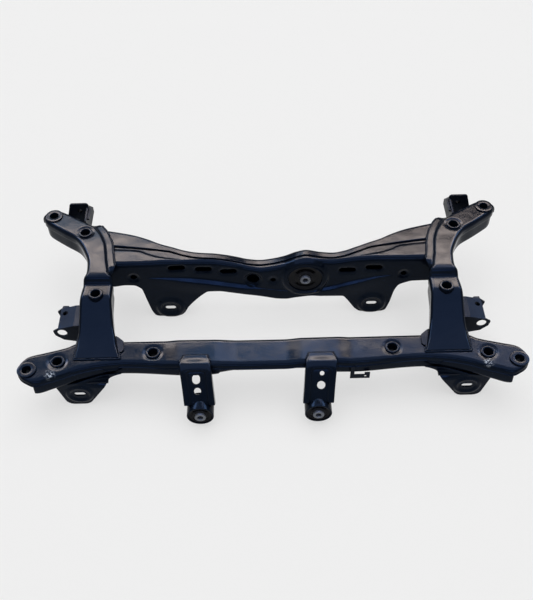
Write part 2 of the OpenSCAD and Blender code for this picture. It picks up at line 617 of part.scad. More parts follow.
module front_right_collar() {
    color(coat) collar(front_eye_x, -front_mount_y, collar_pad_z, front_bottom_z + 16);
}

module rear_left_collar() {
    color(coat) collar(-rear_eye_x, rear_mount_y, rail_top_z, rail_top_z - rail_height);
}

module rear_right_collar() {
    color(coat) collar(rear_eye_x, rear_mount_y, rail_top_z, rail_top_z - rail_height);
}

module tubes(x, y, bottom, top) {
    for (s = [-1, 1])
        ring([s * x, y, bottom], tube_od, tube_bore, top - bottom);
}

module wing_tubes() {
    color(coat) tubes(wing_hole[0], wing_hole[1], front_zb(wing_hole[0]) + seat,
        front_zt(wing_hole[0]) + tube_proud);
}

module arm_tubes() {
    color(coat) tubes(arm_hole[0], arm_hole[1], rail_top_z - rail_height + seat, rail_top_z + tube_proud);
}

rail_tube_foot = rail_top_z - rail_height - rail_pan_drop + seat + 10;
module rail_tubes() {
    color(coat) tubes(rail_x, rail_hole_y, rail_tube_foot, rail_top_z - rail_hole_drop + 5 + tube_proud);
}

module beam_tubes() {
    color(coat) tubes(beam_hole_x, beam_hole_y, front_bottom_z + seat, front_top_z + tube_proud);
}

// Differential bushes
module rubber(p, od, len) {
    difference() {
        ring_y(p, od, core_od + 2 * seam_gap, len);
        for (a = [35, 215])
            translate(p)
                rotate([-90, 0, 0])
                    rotate([0, 0, a])
                        translate([0, 0, -1])
                            rotate_extrude(angle = 110)
                                translate([(od + core_od) / 4 - (od - core_od) / 14, 0])
                                    square([(od - core_od) / 7, len + 2]);
    }
}

front_bush_start = -front_bush_y - front_bush_len / 2;
module front_sleeve(x) {
    ring_y([x, front_bush_start, front_bush_z], front_bush_od, front_bush_od - 2 * sleeve_t,
        front_bush_len);
}

module front_rubber(x) {
    rubber([x, front_bush_start + 2, front_bush_z], front_bush_od - 2 * sleeve_t - 2 * seam_gap,
        front_bush_len - 4);
}

module front_core(x) {
    ring_y([x, front_bush_start - bush_reach, front_bush_z], core_od, core_bore,
        front_bush_len + 2 * bush_reach);
}

module left_bush_sleeve() {
    color(coat) front_sleeve(left_bush_x);
}

module right_bush_sleeve() {
    color(coat) front_sleeve(right_bush_x);
}

module left_bush_rubber() {
    color(rubber_black) front_rubber(left_bush_x);
}

module right_bush_rubber() {
    color(rubber_black) front_rubber(right_bush_x);
}

module left_bush_core() {
    color(bare_steel) front_core(left_bush_x);
}

module right_bush_core() {
    color(bare_steel) front_core(right_bush_x);
}

rear_bush_start = rear_wall_y - 4;
rear_bush_len = rear_yb(rear_bush_x) - rear_bush_start + 6;
module rear_bush_sleeve() {
    color(coat)
        ring_y([rear_bush_x, rear_bush_start, rear_bush_z], rear_bush_od, rear_bush_od - 2 * sleeve_t,
        rear_bush_len);
}

module rear_bush_rubber() {
    color(rubber_black)
        rubber([rear_bush_x, rear_bush_start + 3, rear_bush_z], rear_bush_od - 2 * sleeve_t - 2 * seam_gap,
            rear_bush_len - 6);
}

module rear_bush_core() {
    color(bare_steel)
        ring_y([rear_bush_x, rear_bush_start - bush_reach, rear_bush_z], core_od, core_bore,
            rear_bush_len + 2 * bush_reach);
}

// Front differential brackets: rows of distance along the face, half width, flange depth and panel depth.
diff_start = 24;
diff_drop = [-1, -1] / sqrt(2);
diff_bow = diff_fold * PI / 4;
function diff_centre(x) = [front_yf(x) + 1, bracket_pad_z + seam_gap + plate_t - diff_fold];
function diff_len(x) =
    diff_bow + sqrt(2) * (diff_centre(x)[1] + diff_fold * sin(45) - front_bush_z - front_bush_od / 2 + 2);
function diff_rows(x) = let (l = diff_len(x), w = diff_bracket_w / 2) [
    [-diff_start, w - 7, 0.02, 0], [-8, w - 1, 0.02, 0], [0, w, 0.02, 0], [8, w, 4, 0], [20, w, 13, 1],
    [32, w - 0.5, 20, 1], [l * 0.75, w - 1, diff_flange, 1],
    [l, front_bush_od / 2 + plate_t, diff_flange, 0.8]];
function diff_col(x, k, s) = curve([for (p = diff_rows(x)) [p[0], p[k]]], s);
// Point and outward direction along the face of the bracket at x: over the fold, then straight to the bush.
function diff_frame(x, s) =
    let (r = diff_fold, a = s < 0 ? 90 : 90 + min(45, s / r * 180 / PI), n = [cos(a), sin(a)],
         p = diff_centre(x) + r * n
             + (s < 0 ? [-s, 0] : s > diff_bow ? (s - diff_bow) * diff_drop : [0, 0]))
    [p, n];
function diff_line(x, s) =
    let (w = diff_col(x, 1, s), d = diff_col(x, 2, s), h = diff_col(x, 3, s) * panel_depth)
    [[-w, -d - 4], [-w, -4], [-w + 1.2, -1.2], [-w + 4, 0], [-w + 9, 0], [-w + 15, -h], [w - 15, -h],
    [w - 9, 0],
     [w - 4, 0], [w - 1.2, -1.2], [w, -4], [w, -d - 4]];
function diff_shift(x, s) = sign(x) * diff_lean * (1 - min(1, max(0, s / diff_len(x))));
function diff_place(x, s, p) =
    let (f = diff_frame(x, s)) [x + diff_shift(x, s) + p[0], f[0][0] + f[1][0] * p[1],
    f[0][1] + f[1][1] * p[1]];

module diff_bracket(x, holes) {
    l = diff_len(x);
    places = [-diff_start, -8, 0, 8, 14, 20, diff_bow, 32, 44, 58, l * 0.75, l];
    lines = [for (s = places) diff_line(x, s)];
    difference() {
        sheet([for (i = [0:len(lines) - 1]) [for (p = lines[i]) diff_place(x, places[i], p)]],
            [for (i = [0:len(lines) - 1])
                [for (p = inset(lines[i], plate_t)) diff_place(x, places[i], p)]]);
        bar_y([x, front_bush_start - seam_gap, front_bush_z], front_bush_od + 2 * seam_gap,
            front_bush_len + 2 * seam_gap);
        front_beam_block(x);
        for (h = holes)
            let (f = diff_frame(x, h[1]))
                translate([x + diff_shift(x, h[1]) + h[0], f[0][0], f[0][1]])
                    rotate([45, 0, 0])
                        translate([0, 0, -20])
                            cylinder(d = h[2], h = 30);
    }
}

// Part of the front beam's outer shape near x, grown by the seam, that the bracket stops at.
module front_beam_block(x) {
    c = x + sign(x) * diff_lean;
    y1 = min(front_yf(c - pad_half), front_yf(c), front_yf(c + pad_half)) - seam_gap;
    z1 = bracket_pad_z + seam_gap;
    translate([c - 50, 0, 0])
        rotate([90, 0, 90])
            linear_extrude(100)
                polygon(concat([[y1 + 60, z1]], arc([y1 + bend_r, z1 - bend_r], bend_r, 90, 180),
                    [[y1 - front_draft, front_bottom_z - 4], [y1 + 60, front_bottom_z - 4]]));
}

module left_diff_bracket() {
    color(coat) diff_bracket(left_bush_x, [[-1, 36, 20], [-1, 59, 16]]);
}

module right_diff_bracket() {
    color(coat) diff_bracket(right_bush_x, [[3, 30, 10], [3, 56, 18]]);
}

// Lower-arm ears
module ear_shape(left_w, right_w, bottom_w, h, r) {
    polygon([[-left_w, h], [-bottom_w / 2 - r * 0.87, r * 0.5], [-bottom_w / 2, r], [bottom_w / 2, r],
        [bottom_w / 2 + r * 0.87, r * 0.5], [right_w, h]]);
    for (s = [-1, 1])
        translate([s * bottom_w / 2, r])
            circle(r = r);
    translate([-bottom_w / 2, 0])
        square([bottom_w, r]);
}

front_ear_y = -front_mount_y - 4;
ear_in = 74;
ear_out = 47;
module front_arm_bracket() {
    top = front_bottom_z - seam_gap;
    difference() {
        union() {
            for (y = [front_ear_y + plate_t, front_ear_y + 2 * plate_t + ear_gap])
                translate([5, y, 0])
                    rotate([90, 0, 0])
                        linear_extrude(plate_t)
                            ear_shape(ear_in, ear_out, 22, top, 22);
            translate([5 - ear_in, front_ear_y, top - plate_t])
                cube([ear_in + ear_out, ear_gap + 2 * plate_t, plate_t]);
            ring_y([0, front_ear_y - ear_ring_h, front_slot_z], ear_ring_od, ear_ring_id, ear_ring_h + 1);
        }
        slot_y(0, front_slot_z, front_ear_y - 4, ear_gap + 2 * plate_t + 8, slot_len, slot_w);
    }
}

module left_front_arm_bracket() {
    color(black)
        translate([-front_ear_x, 0, 0])
            mirror([1, 0, 0])
                front_arm_bracket();
}

module right_front_arm_bracket() {
    color(black)
        translate([front_ear_x, 0, 0])
            front_arm_bracket();
}

rear_ear_y = rear_wall_y + sheet_t + ear_gap;
module rear_arm_plate() {
    top = ear_seat_z - seam_gap;
    difference() {
        union() {
            translate([0, rear_ear_y + plate_t, 0])
                rotate([90, 0, 0])
                    linear_extrude(plate_t)
                        ear_shape(50, 50, 34, top, 18);
            translate([-50, rear_ear_y - 22, top - plate_t])
                cube([100, 22 + plate_t, plate_t]);
        }
        slot_y(0, rear_slot_z, rear_ear_y - 1, plate_t + 2, slot_len, slot_w);
    }
}

module left_rear_arm_plate() {
    color(black)
        translate([-rear_ear_x, 0, 0])
            rear_arm_plate();
}

module right_rear_arm_plate() {
    color(black)
        translate([rear_ear_x, 0, 0])
            rear_arm_plate();
}

// Upper link brackets on the rails
link_x = rail_x + link_reach;
link_front = -link_y - link_gap / 2 - plate_t;
link_back = -link_y + link_gap / 2;
module link_plate(y, tip, low) {
    translate([0, y + plate_t, 0])
        rotate([90, 0, 0])
            linear_extrude(plate_t) {
                polygon([[-rail_x - 20, link_z + 26], [-rail_x - 58, link_z + 24],
                    [-link_x - 8, link_z + 14],
                    [-link_x - tip, link_z + 6], [-link_x - tip + 3, link_z - 8], [-link_x, link_z - 24],
                    [-rail_x - 20, link_z - low]]);
            }
}

module left_link_body() {
    difference() {
        union() {
            link_plate(link_front, 20, 40);
            link_plate(link_back, 18, 14);
            translate([0, link_back + plate_t, 0])
                rotate([90, 0, 0])
                    linear_extrude(link_gap + 2 * plate_t)
                        polygon([[-rail_x - 20, link_z + 26], [-rail_x - 58, link_z + 24],
                        [-link_x - 8, link_z + 14],
                            [-link_x - 8, link_z + 14 - plate_t], [-rail_x - 58, link_z + 24 - plate_t],
                            [-rail_x - 20, link_z + 26 - plate_t]]);
        }
        rail_block(seam_gap, rail_runs[7], wall_end + lap);
        bar_y([-link_x, link_front - 1, link_z], link_hole_d, plate_t + 2);
        bar_y([-link_x, link_back - 1, link_z], link_nut_hole_d, plate_t + 2);
        bar([-link_x + 4, -link_y + 14, link_z], 13, 40);
    }
}

module left_link_bracket() {
    color(coat) left_link_body();
}

module right_link_bracket() {
    color(coat) mirror([1, 0, 0]) left_link_body();
}

// Towers behind the rear arms
tower_x = rear_eye_x - tower_inset;
tower_foot = rail_top_z - rail_height + 6;
tower_in = -tower_x + tower_w / 2;
tower_out = -tower_x - tower_w / 2;
module tower_plate() {
    w = tower_w / 2;
    r = 8;
    translate([-tower_x, tower_y + plate_t, 0])
        rotate([90, 0, 0])
            linear_extrude(plate_t) {
                polygon([[-w, tower_top_z - r], [-w - 16, tower_foot], [w, tower_foot],
                    [w, tower_top_z - r]]);
                for (s = [-1, 1])
                    translate([s * (w - r), tower_top_z - r])
                        circle(r = r);
                translate([-w + r, tower_top_z - 2 * r])
                    square([tower_w - 2 * r, 2 * r]);
            }
}

// Side wall of a tower, from y0 back, in the plane x.
module tower_wall(x, y0) {
    translate([x, 0, 0])
        rotate([90, 0, 90])
            linear_extrude(plate_t)
                polygon([[y0, tower_foot], [y0, rail_top_z - 4], [tower_y + plate_t, tower_top_z - 8],
                    [tower_y + tower_depth, tower_foot + 16], [tower_y + tower_depth, tower_foot]]);
}

module left_tower_body() {
    difference() {
        union() {
            tower_plate();
            tower_wall(tower_in - plate_t, rear_mount_y - 44);
            tower_wall(tower_out, tower_y);
            translate([tower_in - plate_t, tower_y - 40, rail_top_z - 4 - plate_t])
                cube([tower_flange, 42, plate_t]);
        }
        rail_block(seam_gap, 0, rail_runs[5]);
        bar_y([-tower_x, tower_y - 1, tower_bolt_z], tower_hole_d, plate_t + 2);
    }
}

module left_tower_bracket() {
    color(coat) left_tower_body();
}

module right_tower_bracket() {
    color(coat) mirror([1, 0, 0]) left_tower_body();
}

// Corner gussets on the front beam, in the inner corners of the rails
module left_gusset_body() {
    x0 = -rail_x + 36;
    y0 = -front_beam_back - 34;
    difference() {
        translate([0, 0, front_top_z + seam_gap])
            linear_extrude(gusset_t)
                polygon([[x0, y0], [-rail_x + 50 + gusset_w - 5, y0], [-rail_x + 50 + gusset_w, y0 + 6],
                    [-rail_x + 48 + gusset_w, y0 + gusset_len * 0.7],
                    [-rail_x + 44 + gusset_w * 0.4, y0 + gusset_len],
                    [x0, y0 + gusset_len]]);
        rail_shadow();
    }
}

// Space taken by the left rail's upper shell near the front beam.
module rail_shadow() {
    body([for (s = rail_places) if (s > rail_runs[10])
        let (i = rail_at(3, s) + 2 * seam_gap)
        [for (p = [[-40, 60], [-40, 220], [i, 220], [i, 60]]) put(s, p)]]);
}

module left_corner_gusset() {
    color(coat) left_gusset_body();
}

module right_corner_gusset() {
    color(coat) mirror([1, 0, 0]) left_gusset_body();
}

// Tab below the front beam
module harness_bracket() {
    y1 = min(front_yf(harness_x - 24), front_yf(harness_x - 12)) - front_draft / 2 - seam_gap - harness_t;
    z1 = front_zb(harness_x) + 4;
    color(coat) difference() {
        union() {
            translate([harness_x - 22, y1, z1 - 14])
                cube([9, harness_t, 40]);
            translate([harness_x - 22, y1, z1 - 14])
                cube([44, harness_t, 13]);
            translate([harness_x + 10, y1, z1 - 4])
                cube([12, harness_t, 10]);
        }
        bar_y([harness_x + 12, y1 - 1, z1 - 7], 6, harness_t + 2);
    }
}

// Weld nuts on the far plates of the U brackets
module weld_nut(x, y, z, d) {
    difference() {
        translate([x, y, z])
            rotate([-90, 0, 0])
                cylinder(d = nut_flats / cos(30), h = nut_h, $fn = 6);
        bar_y([x, y - 1, z], d, nut_h + 2);
    }
}

module link_weld_nuts() {
    color(black)
        for (s = [-1, 1]) {
            weld_nut(s * link_x, link_back + plate_t + seam_gap, link_z, link_nut_hole_d - 2);
            weld_nut(s * tower_x, tower_y + plate_t + seam_gap, tower_bolt_z, tower_hole_d - 1);
        }
}

front_beam_upper();
front_beam_lower();
rear_beam_front();
rear_beam_rear();
left_rail_upper();
right_rail_upper();
left_rail_lower();
right_rail_lower();
front_left_collar();
front_right_collar();
rear_left_collar();
rear_right_collar();
wing_tubes();
arm_tubes();
rail_tubes();
beam_tubes();
left_diff_bracket();
right_diff_bracket();
left_bush_sleeve();
left_bush_rubber();
left_bush_core();
right_bush_sleeve();
right_bush_rubber();
right_bush_core();
rear_bush_sleeve();
rear_bush_rubber();
rear_bush_core();
left_front_arm_bracket();
right_front_arm_bracket();
left_rear_arm_plate();
right_rear_arm_plate();
left_link_bracket();
right_link_bracket();
left_tower_bracket();
right_tower_bracket();
left_corner_gusset();
right_corner_gusset();
harness_bracket();
link_weld_nuts();
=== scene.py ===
"""Rear suspension subframe: pressed shells, brackets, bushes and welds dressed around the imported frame."""
import json
import math

import bmesh
import bpy
import numpy as np
from mathutils import Matrix, Vector


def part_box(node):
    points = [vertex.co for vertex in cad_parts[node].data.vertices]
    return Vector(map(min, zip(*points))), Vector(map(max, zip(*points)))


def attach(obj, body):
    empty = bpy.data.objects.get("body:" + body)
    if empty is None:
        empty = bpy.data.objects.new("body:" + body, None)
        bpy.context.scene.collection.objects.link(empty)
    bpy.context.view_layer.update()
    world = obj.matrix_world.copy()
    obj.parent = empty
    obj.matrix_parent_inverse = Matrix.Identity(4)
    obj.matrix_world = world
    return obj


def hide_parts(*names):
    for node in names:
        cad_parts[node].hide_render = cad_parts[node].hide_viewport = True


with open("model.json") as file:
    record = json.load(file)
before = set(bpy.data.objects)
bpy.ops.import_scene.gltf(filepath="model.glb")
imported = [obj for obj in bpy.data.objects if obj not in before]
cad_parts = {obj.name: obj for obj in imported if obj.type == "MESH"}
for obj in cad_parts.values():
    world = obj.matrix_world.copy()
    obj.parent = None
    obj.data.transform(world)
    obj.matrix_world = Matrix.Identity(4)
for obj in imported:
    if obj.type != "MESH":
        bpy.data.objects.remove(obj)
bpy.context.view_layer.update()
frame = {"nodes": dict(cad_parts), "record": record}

bl_info = {
    "name": "Rear Subframe",
    "version": (1, 0, 0),
    "blender": (4, 5, 0),
    "location": "View3D > Sidebar > Subframe",
    "description": "Builds the pressed shells, brackets, bushes, welds and finishes of a rear subframe",
    "category": "Object",
}

MM = 0.001
IMAGE_W = 533
IMAGE_H = 600
SIDES = {"left": -1, "right": 1}
UP = (0, 0, 1)
DOWN = (0, 0, -1)
ALONG = (0, 1, 0)
MOUNTS = {mount["name"]: mount for mount in frame["record"]["mounts"]}


def mount_place(name):
    """Place of a mount in millimetres."""
    return [value / MM for value in MOUNTS[name]["pos_m"]]


def mount_half(name):
    """Half the spacing across of a mount's two holes, in millimetres."""
    return MOUNTS[name]["dims"]["spacing_x_mm"] / 2


FRONT_EYE_X = mount_half("front_body_bolts")
FRONT_EYE_Y = mount_place("front_body_bolts")[1]
REAR_EYE_X = mount_half("rear_body_bolts")
REAR_EYE_Y = mount_place("rear_body_bolts")[1]
FRONT_EAR_X = mount_half("front_arm_slots")
FRONT_EAR_Y = mount_place("front_arm_slots")[1]
FRONT_SLOT_Z = mount_place("front_arm_slots")[2]
REAR_EAR_X = mount_half("rear_arm_slots")
REAR_WALL_Y = mount_place("rear_arm_slots")[1]
REAR_SLOT_Z = mount_place("rear_arm_slots")[2]
ARM_SLOT_R = MOUNTS["rear_arm_slots"]["dims"]["hole_r_mm"]
ARM_SLOT_RUN = MOUNTS["rear_arm_slots"]["dims"]["slot_length_mm"] / 2 - ARM_SLOT_R
LEFT_BUSH = mount_place("left_diff_bore")
RIGHT_BUSH = mount_place("right_diff_bore")
REAR_BUSH = mount_place("rear_diff_bore")


class SubframeSheet(bpy.types.PropertyGroup):
    """Sizes of the pressed sheet."""
    thickness: bpy.props.FloatProperty(
        name="Sheet", description="Thickness of the pressed shells",
        default=3 * MM, min=MM, unit="LENGTH")
    plate: bpy.props.FloatProperty(
        name="Plate", description="Thickness of the bracket plates",
        default=4 * MM, min=MM, unit="LENGTH")
    bend: bpy.props.FloatProperty(
        name="Bend", description="Outer radius of the long bends",
        default=10 * MM, min=4 * MM, unit="LENGTH")
    edge: bpy.props.FloatProperty(
        name="Edge", description="Rounding of the cut edges",
        default=0.6 * MM, min=0, unit="LENGTH")
    pad: bpy.props.FloatProperty(
        name="Dish", description="Depth of the dishes round the holes",
        default=0.9 * MM, min=0, unit="LENGTH")


class SubframeWeld(bpy.types.PropertyGroup):
    """Sizes of the weld beads."""
    width: bpy.props.FloatProperty(
        name="Width", description="Width of the rails' weld beads, which the others follow",
        default=5.5 * MM, min=MM, unit="LENGTH")
    pitch: bpy.props.FloatProperty(
        name="Pitch", description="Distance between the ripples of a bead",
        default=3.2 * MM, min=MM, unit="LENGTH")


class SubframeFinish(bpy.types.PropertyGroup):
    """Colours of the finishes."""
    coat: bpy.props.FloatVectorProperty(
        name="Coat", description="Dip coat",
        subtype="COLOR", default=(0.0026, 0.0047, 0.0108), min=0, max=1)
    dust: bpy.props.FloatVectorProperty(
        name="Dust", description="Dust and dull film on the coat",
        subtype="COLOR", default=(0.007, 0.010, 0.017), min=0, max=1)
    scuff: bpy.props.FloatVectorProperty(
        name="Scuff", description="Pale rubs in the coat",
        subtype="COLOR", default=(0.42, 0.47, 0.55), min=0, max=1)
    rubber: bpy.props.FloatVectorProperty(
        name="Rubber", description="Bush rubber",
        subtype="COLOR", default=(0.005, 0.005, 0.006), min=0, max=1)
    steel: bpy.props.FloatVectorProperty(
        name="Steel", description="Bare turned steel",
        subtype="COLOR", default=(0.13, 0.14, 0.16), min=0, max=1)


class SubframeStage(bpy.types.PropertyGroup):
    """Floor, lamps and camera."""
    floor: bpy.props.FloatVectorProperty(
        name="Floor", description="Floor colour",
        subtype="COLOR", default=(0.87, 0.87, 0.87), min=0, max=1)
    camera_place: bpy.props.FloatVectorProperty(
        name="Camera", description="Place of the camera",
        subtype="TRANSLATION", default=(-0.011, -1.350, 1.603))
    camera_drop: bpy.props.FloatProperty(
        name="Drop", description="How far the camera looks down",
        subtype="ANGLE", default=math.radians(48))
    camera_roll: bpy.props.FloatProperty(
        name="Roll", description="Tilt of the picture",
        subtype="ANGLE", default=math.radians(1.34))
    focal_px: bpy.props.FloatProperty(
        name="Focal length", description="Focal length in pixels of the picture",
        default=850.0, min=100.0, subtype="PIXEL")


def sheet_sizes():
    """The sheet sizes in millimetres: thickness, plate, bend, edge and pad."""
    sheet = bpy.context.scene.subframe_sheet
    return [value / MM for value in (sheet.thickness, sheet.plate, sheet.bend, sheet.edge, sheet.pad)]


# Curves and grids

def curve(rows, at):
    """Smooth value through [place, value] rows, without overshoot."""
    place = np.array([row[0] for row in rows], float)
    value = np.array([row[1] for row in rows], float)
    gap = np.diff(place)
    slope = np.diff(value) / gap
    tangent = np.zeros(len(place))
    for i in range(1, len(place) - 1):
        if slope[i - 1] * slope[i] > 0:
            tangent[i] = 2 * slope[i - 1] * slope[i] / (slope[i - 1] + slope[i])
    at = np.clip(np.asarray(at, float), place[0], place[-1])
    i = np.clip(np.searchsorted(place, at, side="right") - 1, 0, len(gap) - 1)
    s = (at - place[i]) / gap[i]
    return ((2 * s**3 - 3 * s**2 + 1) * value[i] + (s**3 - 2 * s**2 + s) * tangent[i] * gap[i]
            + (3 * s**2 - 2 * s**3) * value[i + 1] + (s**3 - s**2) * tangent[i + 1] * gap[i])


def value_at(rows, place):
    """One value of a curve, as a plain number."""
    return float(curve(rows, place))


def arc(cy, cz, r, start, end, n=8):
    """Points along an arc, angles in degrees."""
    angles = np.radians(np.linspace(start, end, n + 1))
    return [(cy + r * math.cos(a), cz + r * math.sin(a)) for a in angles]


def run(a, b, n):
    """n points from a towards b, without b."""
    return [tuple(np.array(a) + (np.array(b) - np.array(a)) * k / n) for k in range(n)]


def between(a, b, n):
    """n points between a and b, without either."""
    return run(a, b, n + 1)[1:]


def pan(near, far, rim, bottom, r, n):
    """Section of a pan from one rim to the other; each wall is given by its places at rim and bend."""
    (near_rim, near_bend), (far_rim, far_bend) = near, far
    return (run((near_rim, rim), (near_bend, bottom + r), 4) + arc(near_bend - r, bottom + r, r, 0, -90)
            + between((near_bend - r, bottom), (far_bend + r, bottom), n)
            + arc(far_bend + r, bottom + r, r, -90, -180)
            + run((far_rim, rim), (far_bend, bottom + r), 4)[::-1])


def spaced(start, end, step):
    """Even places from start to end, about step apart."""
    return np.linspace(start, end, max(2, round(abs(end - start) / step) + 1))


def fade(distance, inner, outer):
    """One within inner, none past outer, smooth between."""
    k = np.clip((outer - distance) / (outer - inner), 0, 1)
    return k * k * (3 - 2 * k)


def grid_normals(grid, outward):
    """Unit normals of a grid on the side of outward, and whether its order was flipped for that."""
    along = np.gradient(grid, axis=0)
    across = np.gradient(grid, axis=1)
    normal = np.cross(along, across)
    normal /= np.maximum(np.linalg.norm(normal, axis=2, keepdims=True), 1e-9)
    flipped = float((normal * outward).sum()) < 0
    return (-normal if flipped else normal), flipped


def sheet_mesh(grid, thick, edge, outward):
    """Closed sheet below a grid of outer points, with chamfered edges: points and faces."""
    normal, flipped = grid_normals(grid, np.array(outward, float))
    n, m = grid.shape[:2]
    inner = grid - normal * thick
    faces = []

    def quad(a, b, c, d):
        faces.append((a, d, c, b) if flipped else (a, b, c, d))

    for i in range(n - 1):
        for j in range(m - 1):
            a, b, c, d = i * m + j, (i + 1) * m + j, (i + 1) * m + j + 1, i * m + j + 1
            quad(a, b, c, d)
            k = n * m
            quad(k + a, k + d, k + c, k + b)
    loop = ([(i, 0) for i in range(n)] + [(n - 1, j) for j in range(1, m)]
            + [(i, m - 1) for i in range(n - 2, -1, -1)] + [(0, j) for j in range(m - 2, 0, -1)])
    rims = [[], []]
    outs = []
    for i, j in loop:
        step_i = 1 if i == 0 else -1 if i == n - 1 else 0
        step_j = 1 if j == 0 else -1 if j == m - 1 else 0
        out = np.zeros(3)
        for pair in ((step_i, 0), (0, step_j)):
            if pair != (0, 0):
                away = grid[i, j] - grid[i + pair[0], j + pair[1]]
                out += away / max(np.linalg.norm(away), 1e-9)
        out /= max(np.linalg.norm(out), 1e-9)
        outs.append(out)
    for (i, j), out in zip(loop, outs):
        rims[0].append(grid[i, j] - normal[i, j] * edge)
        rims[1].append(inner[i, j] + normal[i, j] * edge)
        grid[i, j] -= out * edge
        inner[i, j] -= out * edge
    start = 2 * n * m
    size = len(loop)
    points = [grid.reshape(-1, 3), inner.reshape(-1, 3), np.array(rims[0]), np.array(rims[1])]
    for k in range(size):
        q = (k + 1) % size
        a, b = loop[k][0] * m + loop[k][1], loop[q][0] * m + loop[q][1]
        quad(b, a, start + k, start + q)
        quad(start + q, start + k, start + size + k, start + size + q)
        quad(start + size + q, start + size + k, n * m + a, n * m + b)
    return np.concatenate(points), faces


# Objects

def new_object(name, points, faces):
    """Mesh object from points in millimetres."""
    mesh = bpy.data.meshes.new(name)
    mesh.from_pydata([tuple(p * MM) for p in np.asarray(points, float)], [], faces)
    mesh.update()
    piece = bpy.data.objects.new(name, mesh)
    bpy.context.collection.objects.link(piece)
    return piece


def settle(piece, angle=50):
    """Bakes the modifiers into the mesh and smooths it, but for creases sharper than angle."""
    graph = bpy.context.evaluated_depsgraph_get()
    mesh = bpy.data.meshes.new_from_object(piece.evaluated_get(graph))
    old = piece.data
    piece.modifiers.clear()
    piece.data = mesh
    mesh.name = piece.name
    bpy.data.meshes.remove(old)
    mesh.polygons.foreach_set("use_smooth", [True] * len(mesh.polygons))
    mesh.set_sharp_from_angle(angle=math.radians(angle))


def closed_mesh(name, parts):
    """One mesh from several closed parts, with its faces turned outward."""
    made = bmesh.new()
    for points, faces in parts:
        corners = [made.verts.new(tuple(np.asarray(p, float) * MM)) for p in points]
        for face in faces:
            made.faces.new([corners[i] for i in face])
    bmesh.ops.recalc_face_normals(made, faces=made.faces)
    mesh = bpy.data.meshes.new(name)
    made.to_mesh(mesh)
    made.free()
    return mesh


def joined(name, parts, angle=40):
    """One smooth object from several closed parts."""
    piece = bpy.data.objects.new(name, closed_mesh(name, parts))
    bpy.context.collection.objects.link(piece)
    settle(piece, angle)
    return piece


def cut(piece, cutters):
    """Cuts the cutters, which don't touch each other, out of a piece."""
    mesh = closed_mesh("cutter", cutters)
    cutter = bpy.data.objects.new("cutter", mesh)
    bpy.context.collection.objects.link(cutter)
    modifier = piece.modifiers.new("cut", "BOOLEAN")
    modifier.operation = "DIFFERENCE"
    modifier.solver = "MANIFOLD"
    modifier.object = cutter
    settle(piece)
    bpy.data.objects.remove(cutter)
    bpy.data.meshes.remove(mesh)


def dress(piece, finish, nodes):
    """Finishes a piece, rides it on the one body and lets it stand for its nodes."""
    piece.data.materials.clear()
    piece.data.materials.append(finish)
    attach(piece, "root")
    if nodes:
        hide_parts(*nodes)


def pressing(name, node, grid, outward, *cuts, thick=None):
    """A coated pressing below a grid of outer points, cut in turn, that stands for its node."""
    sheet, _, _, edge, _ = sheet_sizes()
    piece = new_object(name, *sheet_mesh(grid, thick or sheet, edge, outward))
    for cutters in cuts:
        cut(piece, cutters)
    dress(piece, finish_named("dip_coat"), [node])


# Any direction off the three axes, to start a ring of points from
SKEW = (0.3, 0.5, 0.8)


def tube_faces(rings, sides):
    """Faces between rings of points that follow one another."""
    faces = []
    for i in range(rings - 1):
        for k in range(sides):
            q = (k + 1) % sides
            faces.append((i * sides + k, i * sides + q, (i + 1) * sides + q, (i + 1) * sides + k))
    return faces


def rod(start, axis, radius, length, sides=48, reach=None):
    """Round cutter along axis, or a slotted one with reach as its half run: points and faces."""
    axis = np.array(axis, float)
    u = np.array(reach, float) if reach is not None else np.cross(axis, SKEW)
    half_run = np.linalg.norm(u) if reach is not None else 0.0
    u /= np.linalg.norm(u)
    v = np.cross(axis, u)
    points = []
    for depth in (0.0, length):
        middle = np.array(start, float) + axis * depth
        for k in range(sides):
            a = 2 * math.pi * (k + 0.5) / sides
            side = half_run if math.cos(a) > 0 else -half_run
            points.append(middle + u * (side + radius * math.cos(a)) + v * radius * math.sin(a))
    caps = [tuple(range(sides - 1, -1, -1)), tuple(range(sides, 2 * sides))]
    return points, caps + tube_faces(2, sides)


def bores(places, radius, low, length):
    """Upright round cutters at places across and along."""
    return [rod((x, y, low), UP, radius, length) for x, y in places]


def filleted(corners, soft, n=3):
    """Closed outline with its corners rounded by soft."""
    points = []
    for i, corner in enumerate(corners):
        p = np.array(corner, float)
        a = np.array(corners[i - 1], float) - p
        b = np.array(corners[(i + 1) % len(corners)], float) - p
        size_a, size_b = np.linalg.norm(a), np.linalg.norm(b)
        k = min(soft, size_a / 2.2, size_b / 2.2)
        a, b = p + a / size_a * k, p + b / size_b * k
        for t in np.linspace(0, 1, n + 1):
            points.append(tuple((1 - t)**2 * a + 2 * t * (1 - t) * p + t**2 * b))
    return points


def turned(profile, place, axis, sides=72):
    """Closed ring turned from a profile of radius and height about an axis: points and faces."""
    axis = np.array(axis, float)
    u = np.cross(axis, SKEW)
    u /= np.linalg.norm(u)
    v = np.cross(axis, u)
    m = len(profile)
    points, faces = [], []
    for k in range(sides):
        a = 2 * math.pi * k / sides
        out = u * math.cos(a) + v * math.sin(a)
        points += [np.array(place, float) + out * r + axis * h for r, h in profile]
        q = (k + 1) % sides
        faces += [(k * m + j, k * m + (j + 1) % m, q * m + (j + 1) % m, q * m + j) for j in range(m)]
    return points, faces


def prism(first, second):
    """Solid between two like outlines: points and faces."""
    n = len(first)
    faces = [tuple(range(n)), tuple(range(2 * n - 1, n - 1, -1))]
    faces += [(k, (k + 1) % n, n + (k + 1) % n, n + k) for k in range(n)]
    return first + second, faces


def slab(outline, y0, y1):
    """Upright plate from an outline of x and z: points and faces."""
    return prism([(x, y0, z) for x, z in outline], [(x, y1, z) for x, z in outline])


